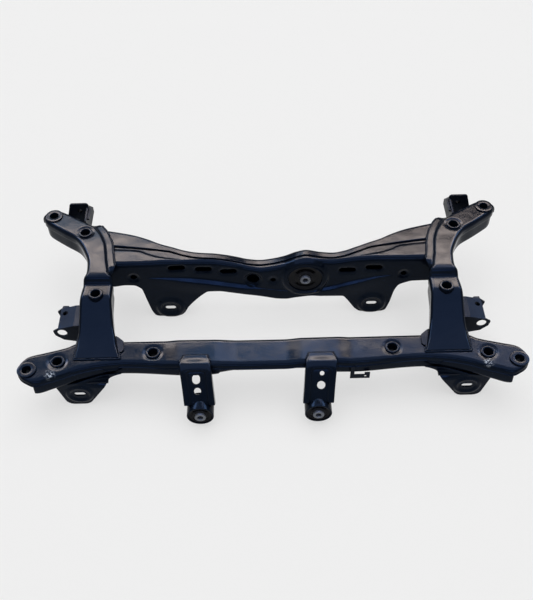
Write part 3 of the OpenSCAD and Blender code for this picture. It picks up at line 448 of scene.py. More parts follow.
def node_box(node):
    """Lowest and highest corner of a solid, in millimetres."""
    low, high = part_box(node)
    return np.array(low) / MM, np.array(high) / MM


# Finishes

def feed(tree, socket, value):
    """Links a socket to another node's output, or sets it to a plain value."""
    if isinstance(value, bpy.types.NodeSocket):
        tree.links.new(value, socket)
    else:
        socket.default_value = value


def fill(tree, node, **sockets):
    """Feeds a node's sockets by their names."""
    for name, value in sockets.items():
        feed(tree, node.inputs[name.replace("_", " ")], value)
    return node


def node_link(tree, kind, **sockets):
    """A new shader node with its sockets fed."""
    return fill(tree, tree.nodes.new(kind), **sockets)


def noise(tree, place, scale, detail=2.0, rough=0.5):
    """Noise value from 0 to 1 at a scale per metre."""
    node = node_link(
        tree, "ShaderNodeTexNoise", Vector=place, Scale=scale, Detail=detail, Roughness=rough)
    return node.outputs["Fac"]


def ramp(tree, value, low, high, to_low=0.0, to_high=1.0):
    """Value mapped smoothly from low..high to to_low..to_high."""
    node = node_link(
        tree, "ShaderNodeMapRange",
        Value=value, From_Min=low, From_Max=high, To_Min=to_low, To_Max=to_high)
    node.interpolation_type = "SMOOTHSTEP"
    return node.outputs["Result"]


def math_node(tree, operation, a, b):
    """Arithmetic on two sockets or numbers."""
    node = tree.nodes.new("ShaderNodeMath")
    node.operation = operation
    feed(tree, node.inputs[0], a)
    feed(tree, node.inputs[1], b)
    return node.outputs["Value"]


def times(tree, a, b):
    """Product of two sockets or numbers."""
    return math_node(tree, "MULTIPLY", a, b)


def patches(tree, place, form, *limits):
    """Noise of a form, which is its scale, detail and roughness, drawn up to soft patches."""
    return ramp(tree, noise(tree, place, *form), *limits)


def blend(tree, factor, a, b):
    """Colour between a and b."""
    node = tree.nodes.new("ShaderNodeMix")
    node.data_type = "RGBA"
    for key, value in ((0, factor), (6, a), (7, b)):
        feed(tree, node.inputs[key], value)
    return node.outputs[2]


def lay_over(tree, below, above, share):
    """Ends a material with one shader laid over another by share."""
    mix = tree.nodes.new("ShaderNodeMixShader")
    for socket, value in zip(mix.inputs, (share, below.outputs[0], above.outputs[0])):
        tree.links.new(value, socket)
    tree.links.new(mix.outputs[0], tree.nodes["Material Output"].inputs["Surface"])


def bump(tree, height, strength, distance, below=None):
    """Bumped normal from a height."""
    node = node_link(tree, "ShaderNodeBump", Height=height, Strength=strength, Distance=distance)
    if below is not None:
        tree.links.new(below, node.inputs["Normal"])
    return node.outputs["Normal"]


def new_finish(name):
    """Empty material: its tree, its shader and the object's own place."""
    finish = bpy.data.materials.new(name)
    finish.use_nodes = True
    tree = finish.node_tree
    shader = tree.nodes["Principled BSDF"]
    place = tree.nodes.new("ShaderNodeTexCoord").outputs["Object"]
    return finish, tree, shader, place


def rgba(colour):
    """A colour with full cover."""
    return (*colour, 1.0)


# Pale rubs on the wings: place and reach in millimetres
SCUFFS = [(-489, -221, 124, 16), (473, -213, 122, 15)]
COAT_TINT = (0.50, 0.70, 1.0, 1.0)
# Painted shade for seams and corners: its colour, and how far the occlusion looks
PAINTED_SHADE_COLOUR = (0.0016, 0.0017, 0.0020, 1)
PAINTED_SHADE_REACH = 14.0
RUBBER_BLOOM = (0.012, 0.0125, 0.014, 1)
STEEL_SPOT = (0.05, 0.05, 0.052, 1)


def paint_shade_in_seams(tree, shader, place):
    """Lays painted shade into the seams and corners of a finish: a dark, dull shader where ambient occlusion
    finds a hollow, in patches.
    """
    hollow = node_link(tree, "ShaderNodeAmbientOcclusion", Distance=PAINTED_SHADE_REACH * MM)
    hollow.samples = 6
    share = ramp(tree, hollow.outputs["AO"], 0.78, 0.38)
    patchy = patches(tree, place, (70.0, 3.0, 0.6), 0.25, 0.6, 0.6, 0.95)
    # Dark, dull shader that paints shade into the hollows
    painted_shade = node_link(
        tree, "ShaderNodeBsdfPrincipled", Base_Color=PAINTED_SHADE_COLOUR, Roughness=0.9, Specular_IOR_Level=0.0)
    lay_over(tree, shader, painted_shade, times(tree, share, patchy))


def coat_finish(name, rough):
    """Dip coat: wavy sheet, orange peel, dull film, worn edges, painted shade in the seams and pale rubs."""
    colours = bpy.context.scene.subframe_finish
    finish, tree, shader, place = new_finish(name)
    film = patches(tree, place, (9.0, 4.0, 0.6), 0.42, 0.72)
    colour = blend(tree, times(tree, film, 0.5), rgba(colours.coat), rgba(colours.dust))
    worn = ramp(tree, tree.nodes.new("ShaderNodeNewGeometry").outputs["Pointiness"], 0.53, 0.60)
    patchy = patches(tree, place, (60.0, 3.0, 0.6), 0.45, 0.65)
    rubbed = times(tree, times(tree, worn, patchy), 0.35)
    colour = blend(tree, rubbed, colour, rgba(colours.dust))
    specks = patches(tree, place, (190.0, 4.0, 0.7), 0.50, 0.58)
    for x, y, z, size in SCUFFS:
        away = tree.nodes.new("ShaderNodeVectorMath")
        away.operation = "DISTANCE"
        feed(tree, away.inputs[0], place)
        feed(tree, away.inputs[1], (x * MM, y * MM, z * MM))
        near = ramp(tree, away.outputs["Value"], size * MM, size * 0.2 * MM)
        colour = blend(tree, times(tree, near, specks), colour, rgba(colours.scuff))
    wavy = bump(tree, noise(tree, place, 14.0, 2.0, 0.4), 0.35, 0.004)
    fill(tree, shader, Base_Color=colour, Specular_IOR_Level=0.07, Specular_Tint=COAT_TINT,
         Roughness=patches(tree, place, (30.0, 3.0, 0.6), 0.3, 0.75, *rough),
         Normal=bump(tree, noise(tree, place, 420.0, 2.0, 0.5), 0.10, 0.0006, wavy))
    # Painted shade in the seams and corners
    paint_shade_in_seams(tree, shader, place)
    return finish


def rubber_finish():
    """Moulded rubber with a faint bloom."""
    colours = bpy.context.scene.subframe_finish
    finish, tree, shader, place = new_finish("bush_rubber")
    bloom = patches(tree, place, (90.0, 4.0, 0.6), 0.4, 0.8)
    fill(tree, shader, Specular_IOR_Level=0.12, Roughness=ramp(tree, bloom, 0, 1, 0.6, 0.8),
         Base_Color=blend(tree, times(tree, bloom, 0.5), rgba(colours.rubber), RUBBER_BLOOM),
         Normal=bump(tree, noise(tree, place, 900.0, 3.0, 0.6), 0.2, 0.0005))
    return finish


def steel_finish():
    """Turned steel with fine marks and dull spots."""
    colours = bpy.context.scene.subframe_finish
    finish, tree, shader, place = new_finish("turned_steel")
    marks = noise(tree, place, 1400.0, 2.0, 0.5)
    spots = patches(tree, place, (120.0, 4.0, 0.65), 0.5, 0.75)
    fill(tree, shader, Metallic=0.7, Roughness=ramp(tree, marks, 0.3, 0.7, 0.42, 0.58),
         Base_Color=blend(tree, times(tree, spots, 0.6), rgba(colours.steel), STEEL_SPOT),
         Normal=bump(tree, marks, 0.15, 0.0003))
    return finish


# Roughness of the coat's glossy and dull places
COATS = {"dip_coat": (0.10, 0.20), "dull_coat": (0.34, 0.48)}


def finish_named(name):
    """The finish of that name, made once."""
    made = bpy.data.materials.get(name)
    if made is None and name in COATS:
        made = coat_finish(name, COATS[name])
    makers = {"bush_rubber": rubber_finish, "turned_steel": steel_finish}
    return made or makers[name]()


# Front beam

SEAM = 0.3
LAP = 10.0
FRONT_TOP_Z = 120.0
FRONT_BOTTOM_Z = 75.0
FRONT_BACK = 129.0
FRONT_DEPTH = 76.0
FRONT_DRAFT = 3.0
LIP_DROP = 12.0
# Tab that hangs from the lip: its drop, its place across, and where its sides start and end
TAB_DROP = 8.0
TAB_X = 360.0
TAB_SIDES = (13, 17)
# How far the cap's lip stands out, from its edge up
LIP_FLARE = (2.4, 2.3, 1.8, 1.0, 0.3, 0, 0, 0)
# Round of the wing's end, and where it starts past the eye
END_ROUND = 5.0
END_START = 15.5
# How far the shells reach past the eye, and the finer steps at their tips
UPPER_REACH = 20.8
LOWER_REACH = -14
TIP = 24.0
TIP_STEP = 1.2
# Bend of the lower shell, which is tighter past a place across, and its rim below the beam's top
PAN_BEND = 15
PAN_TIGHT = 0.66
PAN_WIDE_TO = 120
RIM_BELOW = 12
PAD_LIFT = 3.0
EYE_LIFT = 5.0
TUBE_HOLE_R = 16.8
COLLAR_HOLE_R = 15.3
TUBE_BORE_R = 10.5
WING_HOLE = (FRONT_EYE_X - 63, FRONT_EYE_Y + 25)
BEAM_HOLE = (267.0, -FRONT_BACK - FRONT_DEPTH / 2 + 2)
DIFF_LEAN = 9.0
DIFF_W = 70.0
PAD_HALF = DIFF_W / 2 + 3
LEFT_PAD = LEFT_BUSH[0] - DIFF_LEAN
RIGHT_PAD = RIGHT_BUSH[0] + DIFF_LEAN


def from_eye(*offsets):
    """Places given as distances from the front eye."""
    return [(FRONT_EYE_X + x, FRONT_EYE_Y + y) for x, y in offsets]


FRONT_BACK_ROWS = [
    (0, -FRONT_BACK), (335, 2 - FRONT_BACK), (FRONT_EYE_X - 100, -FRONT_BACK),
    *from_eye((-80, 71), (-46, 58), (-12, 46), (4, 38), (12, 29), (17, 20), (20, 11), (21, 6))]
FRONT_FRONT = -FRONT_BACK - FRONT_DEPTH
FRONT_FRONT_ROWS = [
    (0, FRONT_FRONT), (170, FRONT_FRONT + 1), (335, FRONT_FRONT + 12), (FRONT_EYE_X - 160, FRONT_FRONT + 8),
    *from_eye((-110, 2), (-54, -21), (-18, -33), (0, -26), (9, -20), (15, -13), (19, -6), (21, -1))]
FRONT_TOP_ROWS = [(x, FRONT_TOP_Z + z) for x, z in (
    (-FRONT_EYE_X, EYE_LIFT), (30 - FRONT_EYE_X, EYE_LIFT - 1), (85 - FRONT_EYE_X, 0),
    (LEFT_PAD - PAD_HALF - 34, 0), (LEFT_PAD - PAD_HALF, PAD_LIFT),
    (LEFT_PAD + PAD_HALF, PAD_LIFT), (LEFT_PAD + PAD_HALF + 57, -1),
    (RIGHT_PAD - PAD_HALF - 42, -1), (RIGHT_PAD - PAD_HALF, PAD_LIFT),
    (RIGHT_PAD + PAD_HALF, PAD_LIFT), (RIGHT_PAD + PAD_HALF + 34, 0),
    (FRONT_EYE_X - 85, 0), (FRONT_EYE_X - 30, EYE_LIFT - 1), (FRONT_EYE_X, EYE_LIFT))]
FRONT_BOTTOM_ROWS = [(x, FRONT_BOTTOM_Z + z) for x, z in (
    (0, 16), (70, 15), (150, 2), (230, 0), (FRONT_EYE_X, 0))]
FRONT_LIP_ROWS = [
    (0, 4), (80, 4), (160, 7), (240, 5), (300, 3),
    (FRONT_EYE_X - 40, 3.5), (FRONT_EYE_X - 12, 6), (FRONT_EYE_X + 20, 6)]


def front_section(x):
    """Back, front, top, bottom, bend and lip height of the front beam at x."""
    bend = bpy.context.scene.subframe_sheet.bend / MM
    far = abs(x)
    bends = [
        (0, bend), (FRONT_EYE_X - 30, bend), (FRONT_EYE_X, 6), (FRONT_EYE_X + 13, 5),
        (FRONT_EYE_X + 21, 2.6)]
    r = value_at(bends, far)
    top = value_at(FRONT_TOP_ROWS, x)
    tab = TAB_DROP * float(fade(abs(far - TAB_X), *TAB_SIDES))
    lip = top - r - value_at(FRONT_LIP_ROWS, far) - tab
    past = max(0.0, (far - FRONT_EYE_X - END_START) * 0.85)
    top -= END_ROUND - math.sqrt(max(0.0, END_ROUND**2 - past**2))
    return (value_at(FRONT_BACK_ROWS, far), value_at(FRONT_FRONT_ROWS, far), top,
            value_at(FRONT_BOTTOM_ROWS, far), r, lip)


def front_out(section, z):
    """How far the drafted wall stands out at height z."""
    _, _, top, bottom, r, _ = section
    return FRONT_DRAFT * (top - r - z) / (top - r - bottom)


def front_upper_line(x):
    """Section of the upper shell at x, from the front lip over the top to the back lip."""
    section = front_section(x)
    back, front, top, _, r, lip = section
    low_f = (front - front_out(section, lip), lip)
    low_b = (back + front_out(section, lip), lip)
    wall = run(low_f, (front, top - r), len(LIP_FLARE))
    lip_line = [(y - flare, z) for (y, z), flare in zip(wall, LIP_FLARE)]
    return (lip_line + arc(front + r, top - r, r, 180, 90)
            + between((front + r, top), (back - r, top), 15) + arc(back - r, top - r, r, 90, 0)
            + run(low_b, (back, top - r), 5)[::-1])


def front_lower_line(x):
    """Section of the lower shell at x, from the back wall under the bottom to the front wall."""
    thick = bpy.context.scene.subframe_sheet.thickness / MM
    section = front_section(x)
    back, front, _, bottom, _, lip = section
    seat = thick + 2 * SEAM
    rim = min(lip + LAP, FRONT_TOP_Z - RIM_BELOW)
    r = min(PAN_BEND, rim - bottom - 1) * (1 if abs(x) < PAN_WIDE_TO else PAN_TIGHT)
    front_in, back_in = front + seat, back - seat
    f1, f0 = front_in - front_out(section, rim), front_in - front_out(section, bottom + r)
    b1, b0 = back_in + front_out(section, rim), back_in + front_out(section, bottom + r)
    return pan((b1, b0), (f1, f0), rim, bottom, r, 10)


def turned_down(grid, radius, low):
    """Curls the first end of a grid over and drops it to low."""
    away = (grid[0] - grid[1]).mean(axis=0) * (1, 1, 0)
    away /= np.linalg.norm(away)
    rows = []
    for a in np.radians([18, 36, 54, 72, 90]):
        row = grid[0] + away * radius * math.sin(a)
        row[:, 2] = np.maximum(row[:, 2] - radius * (1 - math.cos(a)), np.minimum(low, row[:, 2]))
        rows.append(row)
    curled = rows[-1]
    for k in (0.35, 0.7, 1.0):
        row = curled.copy()
        row[:, 2] = row[:, 2] + (np.minimum(low, row[:, 2]) - row[:, 2]) * k
        rows.append(row)
    return np.concatenate([np.array(rows)[::-1], grid])


def sink_dishes(grid, places, inner=18, outer=23):
    """Presses shallow dishes round the holes of a grid's upward faces."""
    depth = bpy.context.scene.subframe_sheet.pad / MM
    for x, y in places:
        away = np.hypot(grid[:, :, 0] - x, grid[:, :, 1] - y)
        grid[:, :, 2] -= depth * fade(away, inner, outer)
    return grid


def both(x, y):
    """A place on the left and on the right."""
    return [(-x, y), (x, y)]


def front_grid(line, end, step=4.0):
    """Grid of one of the front beam's shells."""
    places = np.concatenate([
        spaced(-end, TIP - end, TIP_STEP), spaced(TIP - end, end - TIP, step)[1:-1],
        spaced(end - TIP, end, TIP_STEP)])
    return np.array([[(x, y, z) for y, z in line(x)] for x in places])


def build_front_beam():
    """The two shells of the front beam."""
    eyes = both(FRONT_EYE_X, FRONT_EYE_Y)
    holes = both(*WING_HOLE) + both(*BEAM_HOLE)
    grid = sink_dishes(front_grid(front_upper_line, FRONT_EYE_X + UPPER_REACH, 3.0), holes)
    pressing("front_beam_upper_shell", "front_beam_upper", grid, UP,
             bores(holes, TUBE_HOLE_R, 60, 90) + bores(eyes, COLLAR_HOLE_R, 60, 90))
    grid = front_grid(front_lower_line, FRONT_EYE_X + LOWER_REACH)
    pressing("front_beam_lower_shell", "front_beam_lower", grid, DOWN,
             bores(holes, TUBE_BORE_R, 20, 120) + bores(eyes, COLLAR_HOLE_R, 20, 120))


# Side rails

RAIL_X = 400.0
RAIL_TOP_Z = 194.0
RAIL_H = 62.0
RAIL_WAIST = 47.0
RAIL_HOLE = (RAIL_X, -38.0)
ARM_HOLE = (REAR_EYE_X - 84, REAR_EYE_Y - 60)
RAIL_FOOT_Z = RAIL_TOP_Z - RAIL_H
RAIL_R = 9.0
# Flange on the rear beam: its length, its step down, and where the step starts and ends at the rail's edge
FLANGE_LEN = 15.0
RAIL_STEP = 3.1
FLANGE_FROM = 7.0
FLANGE_PAST = 1.5
# Round end at the rear eye, and the curl of its edge
EYE_ROUND_R = 26.0
EYE_END_HALF = 6.0
END_CURL = 5.0
# How much lower the pan's rim is on the front beam
FOOT_RIM_DROP = 8

# Place across, place along, outer and inner half width, top and bottom of the left rail
RAIL_ROWS = [
    (-REAR_EYE_X - 20, REAR_EYE_Y + 14, 12, 12, RAIL_TOP_Z, RAIL_FOOT_Z + 4),
    (-REAR_EYE_X - 13, REAR_EYE_Y + 9, 20, 20, RAIL_TOP_Z, RAIL_FOOT_Z + 2),
    (-REAR_EYE_X, REAR_EYE_Y, 25, 27, RAIL_TOP_Z, RAIL_FOOT_Z),
    (-REAR_EYE_X + 42, REAR_EYE_Y - 29, 28, 30, RAIL_TOP_Z, RAIL_FOOT_Z),
    (-ARM_HOLE[0], ARM_HOLE[1], 29, 30, RAIL_TOP_Z, RAIL_FOOT_Z),
    (-RAIL_X - 18, REAR_WALL_Y + 60, 28, 27, RAIL_TOP_Z, RAIL_FOOT_Z),
    (-RAIL_X - 4, REAR_WALL_Y + 14, RAIL_WAIST * 0.55, RAIL_WAIST * 0.45, RAIL_TOP_Z, RAIL_FOOT_Z),
    (-RAIL_X, 20, 27, 26, RAIL_TOP_Z, RAIL_FOOT_Z - 6),
    (-RAIL_X, 6, 31, 33, RAIL_TOP_Z - 1, RAIL_FOOT_Z - 12),
    (-RAIL_X, -6, 34, 35, RAIL_TOP_Z - 17.6, RAIL_FOOT_Z - 16),
    (-RAIL_X, RAIL_HOLE[1], 37, 35, RAIL_TOP_Z - 18, RAIL_FOOT_Z - 27),
    (-RAIL_X, -75, 38, 38, RAIL_TOP_Z - 37, RAIL_FOOT_Z - 46),
    (-RAIL_X, -104, 38, 42, FRONT_TOP_Z + 22.5, FRONT_BOTTOM_Z + 12),
    (-RAIL_X, 17 - FRONT_BACK, 38, 44, FRONT_TOP_Z + 19.5, FRONT_BOTTOM_Z + 8),
    (-RAIL_X, 3 - FRONT_BACK, 39, 47, FRONT_TOP_Z + 15, FRONT_BOTTOM_Z + 6),
    (-RAIL_X, -FRONT_BACK - 18, 40, 52, FRONT_TOP_Z + 10, FRONT_BOTTOM_Z + 6),
    (-RAIL_X, -FRONT_BACK - 50, 40, 60, FRONT_TOP_Z + 4.4, FRONT_BOTTOM_Z + 6)]
RAIL_GAPS = [math.dist(a[:2], b[:2]) for a, b in zip(RAIL_ROWS, RAIL_ROWS[1:])]
RAIL_RUNS = np.concatenate([[0], np.cumsum(RAIL_GAPS)])
RAIL_END = float(RAIL_RUNS[-1])
WALL_END = float(RAIL_RUNS[13])
# Where the inner lip gives way to the flange
FLANGE_ROWS = [
    (0, 0), (RAIL_RUNS[3] + 32, 0), (RAIL_RUNS[4] + 3, 1), (RAIL_RUNS[6] + 26, 1),
    (RAIL_RUNS[7] + 10, 0), (RAIL_END, 0)]


def rail_value(column, s):
    """One column of the rail's rows at s along it."""
    return value_at([(run_s, row[column]) for run_s, row in zip(RAIL_RUNS, RAIL_ROWS)], s)


def rail_side(s):
    """Direction across the rail at s, towards its inner side."""
    a, b = max(0.0, s - 4), min(RAIL_END, s + 4)
    dx = rail_value(0, b) - rail_value(0, a)
    dy = rail_value(1, b) - rail_value(1, a)
    size = math.hypot(dx, dy)
    return -dy / size, dx / size


def rail_half(column, s):
    """Half width, drawn in to a round at the eye's end."""
    centre = RAIL_RUNS[2]
    half = rail_value(column, s)
    if s < centre:
        half = min(half, math.sqrt(max(EYE_ROUND_R**2 - (centre + 1.5 - s)**2, EYE_END_HALF**2)))
    return half


def rail_put(s, p, side):
    """Point p, across and up, in the rail's section at s."""
    qx, qy = rail_side(s)
    return (-side * (rail_value(0, s) + qx * p[0]), rail_value(1, s) + qy * p[0], p[1])


def mixed(a, b, k):
    """Points k of the way from one line to another."""
    return [tuple(np.array(p) * (1 - k) + np.array(q) * k) for p, q in zip(a, b)]


def rail_lip(s):
    """Lower edge of the rail's upper shell; on the front beam it stops at the beam's top."""
    low = rail_value(4, s) - RAIL_R - LIP_DROP
    return max(low, FRONT_TOP_Z + 2 * SEAM) if s > WALL_END + 1 else low


def rail_upper_line(s):
    """Section of the rail's upper shell at s: outer lip, bend, top, then a lip or a flange."""
    o, i, top, lip = rail_half(2, s), rail_half(3, s), rail_value(4, s), rail_lip(s)
    r = min(RAIL_R, o - 2, i - 2, top - lip - 0.5)
    outer = run((-o, lip), (-o, top - r), 4) + arc(r - o, top - r, r, 180, 90)
    inner = arc(i - r, top - r, r, 90, 0) + run((i, lip), (i, top - r), 4)[::-1]
    fall = [k * k * (3 - 2 * k) for k in np.linspace(0, 1, 8)]
    slope, flat = FLANGE_FROM + FLANGE_PAST, FLANGE_LEN - FLANGE_PAST
    flange = ([(i - FLANGE_FROM + slope * k / 7, top - RAIL_STEP * fall[k]) for k in range(8)]
              + [(i + FLANGE_PAST + flat * k / 5, top - RAIL_STEP) for k in range(1, 6)])
    last = mixed(inner, flange, value_at(FLANGE_ROWS, s))
    return outer + between(outer[-1], last[0], 15) + last


def rail_lower_line(s):
    """Section of the rail's pan at s."""
    thick = bpy.context.scene.subframe_sheet.thickness / MM
    seat = thick + SEAM
    o, i = rail_half(2, s) - seat, rail_half(3, s) - seat
    rim = rail_value(4, s) - RAIL_R - LIP_DROP + LAP - (FOOT_RIM_DROP if s > WALL_END else 0)
    foot = rail_value(5, s)
    r = max(1.5, min(RAIL_R, o - 2, i - 2))
    return pan((i, i), (-o, -o), rim, foot, r, 8)


def rail_grid(line, start, end, side, step=3.0):
    """Grid of one of a rail's shells, from start to end along it."""
    places = spaced(start, end, step)
    return np.array([[rail_put(s, p, side) for p in line(s)] for s in places])


def build_rail(name):
    """The two shells of one rail."""
    side = SIDES[name]
    eye = [(side * REAR_EYE_X, REAR_EYE_Y)]
    holes = [(side * x, y) for x, y in (ARM_HOLE, RAIL_HOLE)]
    grid = sink_dishes(rail_grid(rail_upper_line, END_CURL, RAIL_END, side, 2.5), holes[:1])
    grid = turned_down(grid, END_CURL, RAIL_TOP_Z - RAIL_R - LIP_DROP)
    pressing(name + "_rail_upper_shell", name + "_rail_upper", grid, UP,
             bores(holes, TUBE_HOLE_R, 100, 120) + bores(eye, COLLAR_HOLE_R, 100, 120))
    grid = rail_grid(rail_lower_line, 4.0, WALL_END + 10, side)
    pressing(name + "_rail_lower_pan", name + "_rail_lower", grid, DOWN,
             bores(holes, TUBE_BORE_R, 60, 140) + bores(eye, COLLAR_HOLE_R, 60, 140))


# Rear beam

REAR_TOP_Z = 184.0
REAR_DIP_Z = 155.0
REAR_BOTTOM_Z = 54.0
REAR_DEPTH = 38.0
EAR_SEAT = 38
SHOULDER = 5.0
REAR_EDGE_END = REAR_EYE_Y - 24


def rear_edge_rows():
    """Where the beam's end meets the rail's inner side, as places along and across."""
    rows = []
    for s in spaced(RAIL_RUNS[8], RAIL_RUNS[3], 4.0):
        x, y, _ = rail_put(s, (rail_value(3, s) + SEAM, 0), 1)
        rows.append((y, x))
    return rows


REAR_EDGE = np.array(rear_edge_rows())


def rear_end(y):
    """Half length of the beam at y, where it meets the rail."""
    return float(np.interp(min(y, REAR_EDGE_END), REAR_EDGE[:, 0], REAR_EDGE[:, 1]))


REAR_HALF = rear_end(REAR_WALL_Y)
REAR_TOP_ROWS = [
    *((x, REAR_TOP_Z + z) for x, z in ((-REAR_HALF, 0), (-250, 0), (-170, -1), (-137, -3), (-109, -8))),
    (-80, REAR_DIP_Z * 0.55 + REAR_TOP_Z * 0.45), (-52, REAR_DIP_Z + 4), (-24, REAR_DIP_Z),
    (5, REAR_DIP_Z + 4), (REAR_BUSH[0] - 50, REAR_DIP_Z + 12),
    *((REAR_BUSH[0] + x, REAR_TOP_Z + z) for x, z in ((-21, -4), (0, 1), (36, -7), (64, -10))),
    *((x, REAR_TOP_Z + z) for x, z in ((175, -6), (205, -1), (250, 0), (REAR_HALF, 0)))]
REAR_BACK_ROWS = [(x, REAR_WALL_Y + REAR_DEPTH + y) for x, y in (
    (0, 0), (150, 0), (173, 2), (200, 9), (228, 21), (255, 33), (281, 50), (307, 64), (334, 74), (359, 82),
    (REAR_HALF, 88))]
REAR_LAP_ROWS = [(x, REAR_WALL_Y + y) for x, y in (
    (0, 20), (71, 20), (170, 27), (240, 42), (311, 54), (REAR_HALF, 62))]
REAR_BOTTOM_ROWS = [(x, REAR_BOTTOM_Z + z) for x, z in (
    (-REAR_HALF, 62), (-REAR_EAR_X - 82, 63), (-REAR_EAR_X - 56, EAR_SEAT), (-REAR_EAR_X + 56, EAR_SEAT),
    (-150, 40), (-99, 36), (-14, 16), (37, 8), (100, 15), (150, 20),
    (REAR_EAR_X - 56, EAR_SEAT), (REAR_EAR_X + 56, EAR_SEAT), (REAR_EAR_X + 77, 54), (REAR_HALF, 57))]
# Lower edge of the ears, outward from the slot and up from the floor
LEFT_EAR_ROWS = [
    (-98, REAR_BOTTOM_Z + 33), (-80, REAR_BOTTOM_Z + 19), (-62, 54), (-44, 31), (-34, 12), (-24, 2.5),
    (-8, 0), (28, 0), (38, 2.5), (46, 17), (54, 53), (64, REAR_BOTTOM_Z + 47), (82, REAR_BOTTOM_Z + 59)]
RIGHT_EAR_ROWS = [
    (-73, REAR_BOTTOM_Z + 5), (-62, 47), (-52, 31), (-38, 10), (-26, 1.5), (-4, 0), (24, 0), (35, 4),
    (44, 30), (53, 76), (62, REAR_BOTTOM_Z + 40), (77, REAR_BOTTOM_Z + 48)]
REAR_FOOT_ROWS = [
    (-REAR_HALF, REAR_BOTTOM_Z + 56), (-348, REAR_BOTTOM_Z + 60),
    *((-REAR_EAR_X - x, z) for x, z in reversed(LEFT_EAR_ROWS)),
    *((x, REAR_BOTTOM_Z + z) for x, z in (
        (-125, 34), (-99, 29), (-48, 17), (-14, 8), (20, 0), (37, -1), (60, 3), (100, 8))),
    *((REAR_EAR_X + x, z) for x, z in RIGHT_EAR_ROWS),
    (341, REAR_BOTTOM_Z + 53), (REAR_HALF, REAR_BOTTOM_Z + 54)]
# Height of the shoulder, and how far the wall is set back above it
SHOULDER_ROWS = [
    (-REAR_HALF, 140), (-285, 137), (-168, 122), (-66, 100), (0, 88), (60, 80), (124, 84), (200, 106),
    (281, 127), (REAR_HALF, 130)]
SET_BACK_ROWS = [(x, SHOULDER * k) for x, k in (
    (-300, 0), (-285, 0.1), (-168, 1), (-66, 1), (-42, 0.55), (-15, 0.1), (98, 0.1), (124, 0.75),
    (200, 0.7), (281, 0.1), (300, 0))]
SHOULDER_RAMP = [
    (0, 0), (0.08, 0.02), (0.18, 0.1), (0.3, 0.25), (0.5, 0.5), (0.7, 0.75), (0.82, 0.9), (0.92, 0.98)]
SHOULDER_STEEP = 1.75
# Bulge of the wall at the shoulder, and how far down it fades
WALL_BULGE = 3.4
BULGE_FADE = 45
# Openings in the wall: places of the slots, with their radius and half run; places and radii of the holes
WALL_SLOTS = [(-222, 165), (-159, 157), (-100, 148), (183, 145), (246, 153)]
WALL_SLOT_R = 8
WALL_SLOT_RUN = 12
WALL_HOLES = [(-42, 120.5, 15), (6, 119, 6.5), (-326, 139, 8), (318, 132, 7.5)]
REAR_BUSH_HOLE_R = 44.3
# Rings pressed round the ear slots: half run of their middle line, rise, outer edge, slope and dish
RING_RUN = 2
RING_RISE = 5.0
RING_EDGE = 35
RING_SLOPE = 6.6
RING_DISH = (17, 24.5)
# Crease in front of the lap, where the flange steps down under the rear pressing, and where it dies out
CREASE_ROWS = [
    (0, 57), (100, 57), (180, 61), (220, 64), (258, 70), (286, 80), (310, 92), (345, 97), (REAR_HALF, 99)]
CREASE_RISE = 2.6
CREASE_ENDS = (200, 265)


def rear_flange(x):
    """Rear edge of the front pressing's top flange at x."""
    bend = bpy.context.scene.subframe_sheet.bend / MM
    return min(value_at(REAR_LAP_ROWS, abs(x)) + LAP, value_at(REAR_BACK_ROWS, abs(x)) - bend - 1)


def rear_front_line(x):
    """Section of the front pressing at x, from its lower edge up the wall and back over the flange."""
    bend = bpy.context.scene.subframe_sheet.bend / MM
    top, foot = value_at(REAR_TOP_ROWS, x), value_at(REAR_FOOT_ROWS, x)
    back, mid = value_at(SET_BACK_ROWS, x), value_at(SHOULDER_ROWS, x)
    bulge = WALL_BULGE * back / SHOULDER
    y0, y1 = REAR_WALL_Y, REAR_WALL_Y + back
    rise = max(1.0, SHOULDER_STEEP * (back + bulge))
    low, high = mid - rise / 2, mid + rise / 2
    heights = np.linspace(foot, low, 23)[:-1]
    wall = [(y0 - bulge * float(fade(low - z, 0, BULGE_FADE)), z) for z in heights]
    ramp_up = [(y0 - bulge + (back + bulge) * f, low + rise * t) for t, f in SHOULDER_RAMP]
    end = (rear_flange(x), top)
    return (wall + ramp_up + run((y1, high), (y1, top - bend), 12)
            + arc(y1 + bend, top - bend, bend, 180, 90) + between((y1 + bend, top), end, 18) + [end])


def raise_crease(grid):
    """Lifts the wide ends of the top flange in front of the crease."""
    far = np.abs(grid[:, :, 0])
    past = grid[:, :, 1] - curve(CREASE_ROWS, far)
    top = curve(REAR_TOP_ROWS, grid[:, :, 0])
    upper = np.clip((grid[:, :, 2] - top + 10) / 10, 0, 1)
    grid[:, :, 2] += CREASE_RISE * upper * fade(past, -3.0, 1.0) * (1 - fade(far, *CREASE_ENDS))
    return grid


def rear_back_line(x):
    """Section of the rear pressing at x, from its lap on the flange over the back to its lower edge."""
    thick, _, bend, _, _ = sheet_sizes()
    top = value_at(REAR_TOP_ROWS, x) + thick + 2 * SEAM
    back, low = value_at(REAR_BACK_ROWS, abs(x)), value_at(REAR_BOTTOM_ROWS, x)
    lap = rear_flange(x) - LAP
    end = (REAR_WALL_Y + thick + SEAM, low)
    return (run((lap, top), (back - bend, top), 12) + arc(back - bend, top - bend, bend, 90, 0)
            + between((back, top - bend), (back, low + bend), 14)
            + arc(back - bend, low + bend, bend, 0, -90) + between((back - bend, low), end, 8) + [end])


def rear_grid(line, step=3.0):
    """Grid of one of the rear beam's pressings, with its ends on the rails."""
    places = spaced(-REAR_HALF, REAR_HALF, step)
    return np.array([[(x * rear_end(y) / REAR_HALF, y, z) for y, z in line(x)] for x in places])


def to_slot(grid, x, z, half):
    """Distance in the wall's plane to a slot's middle line."""
    return np.hypot(np.maximum(np.abs(grid[:, :, 0] - x) - half, 0), grid[:, :, 2] - z)


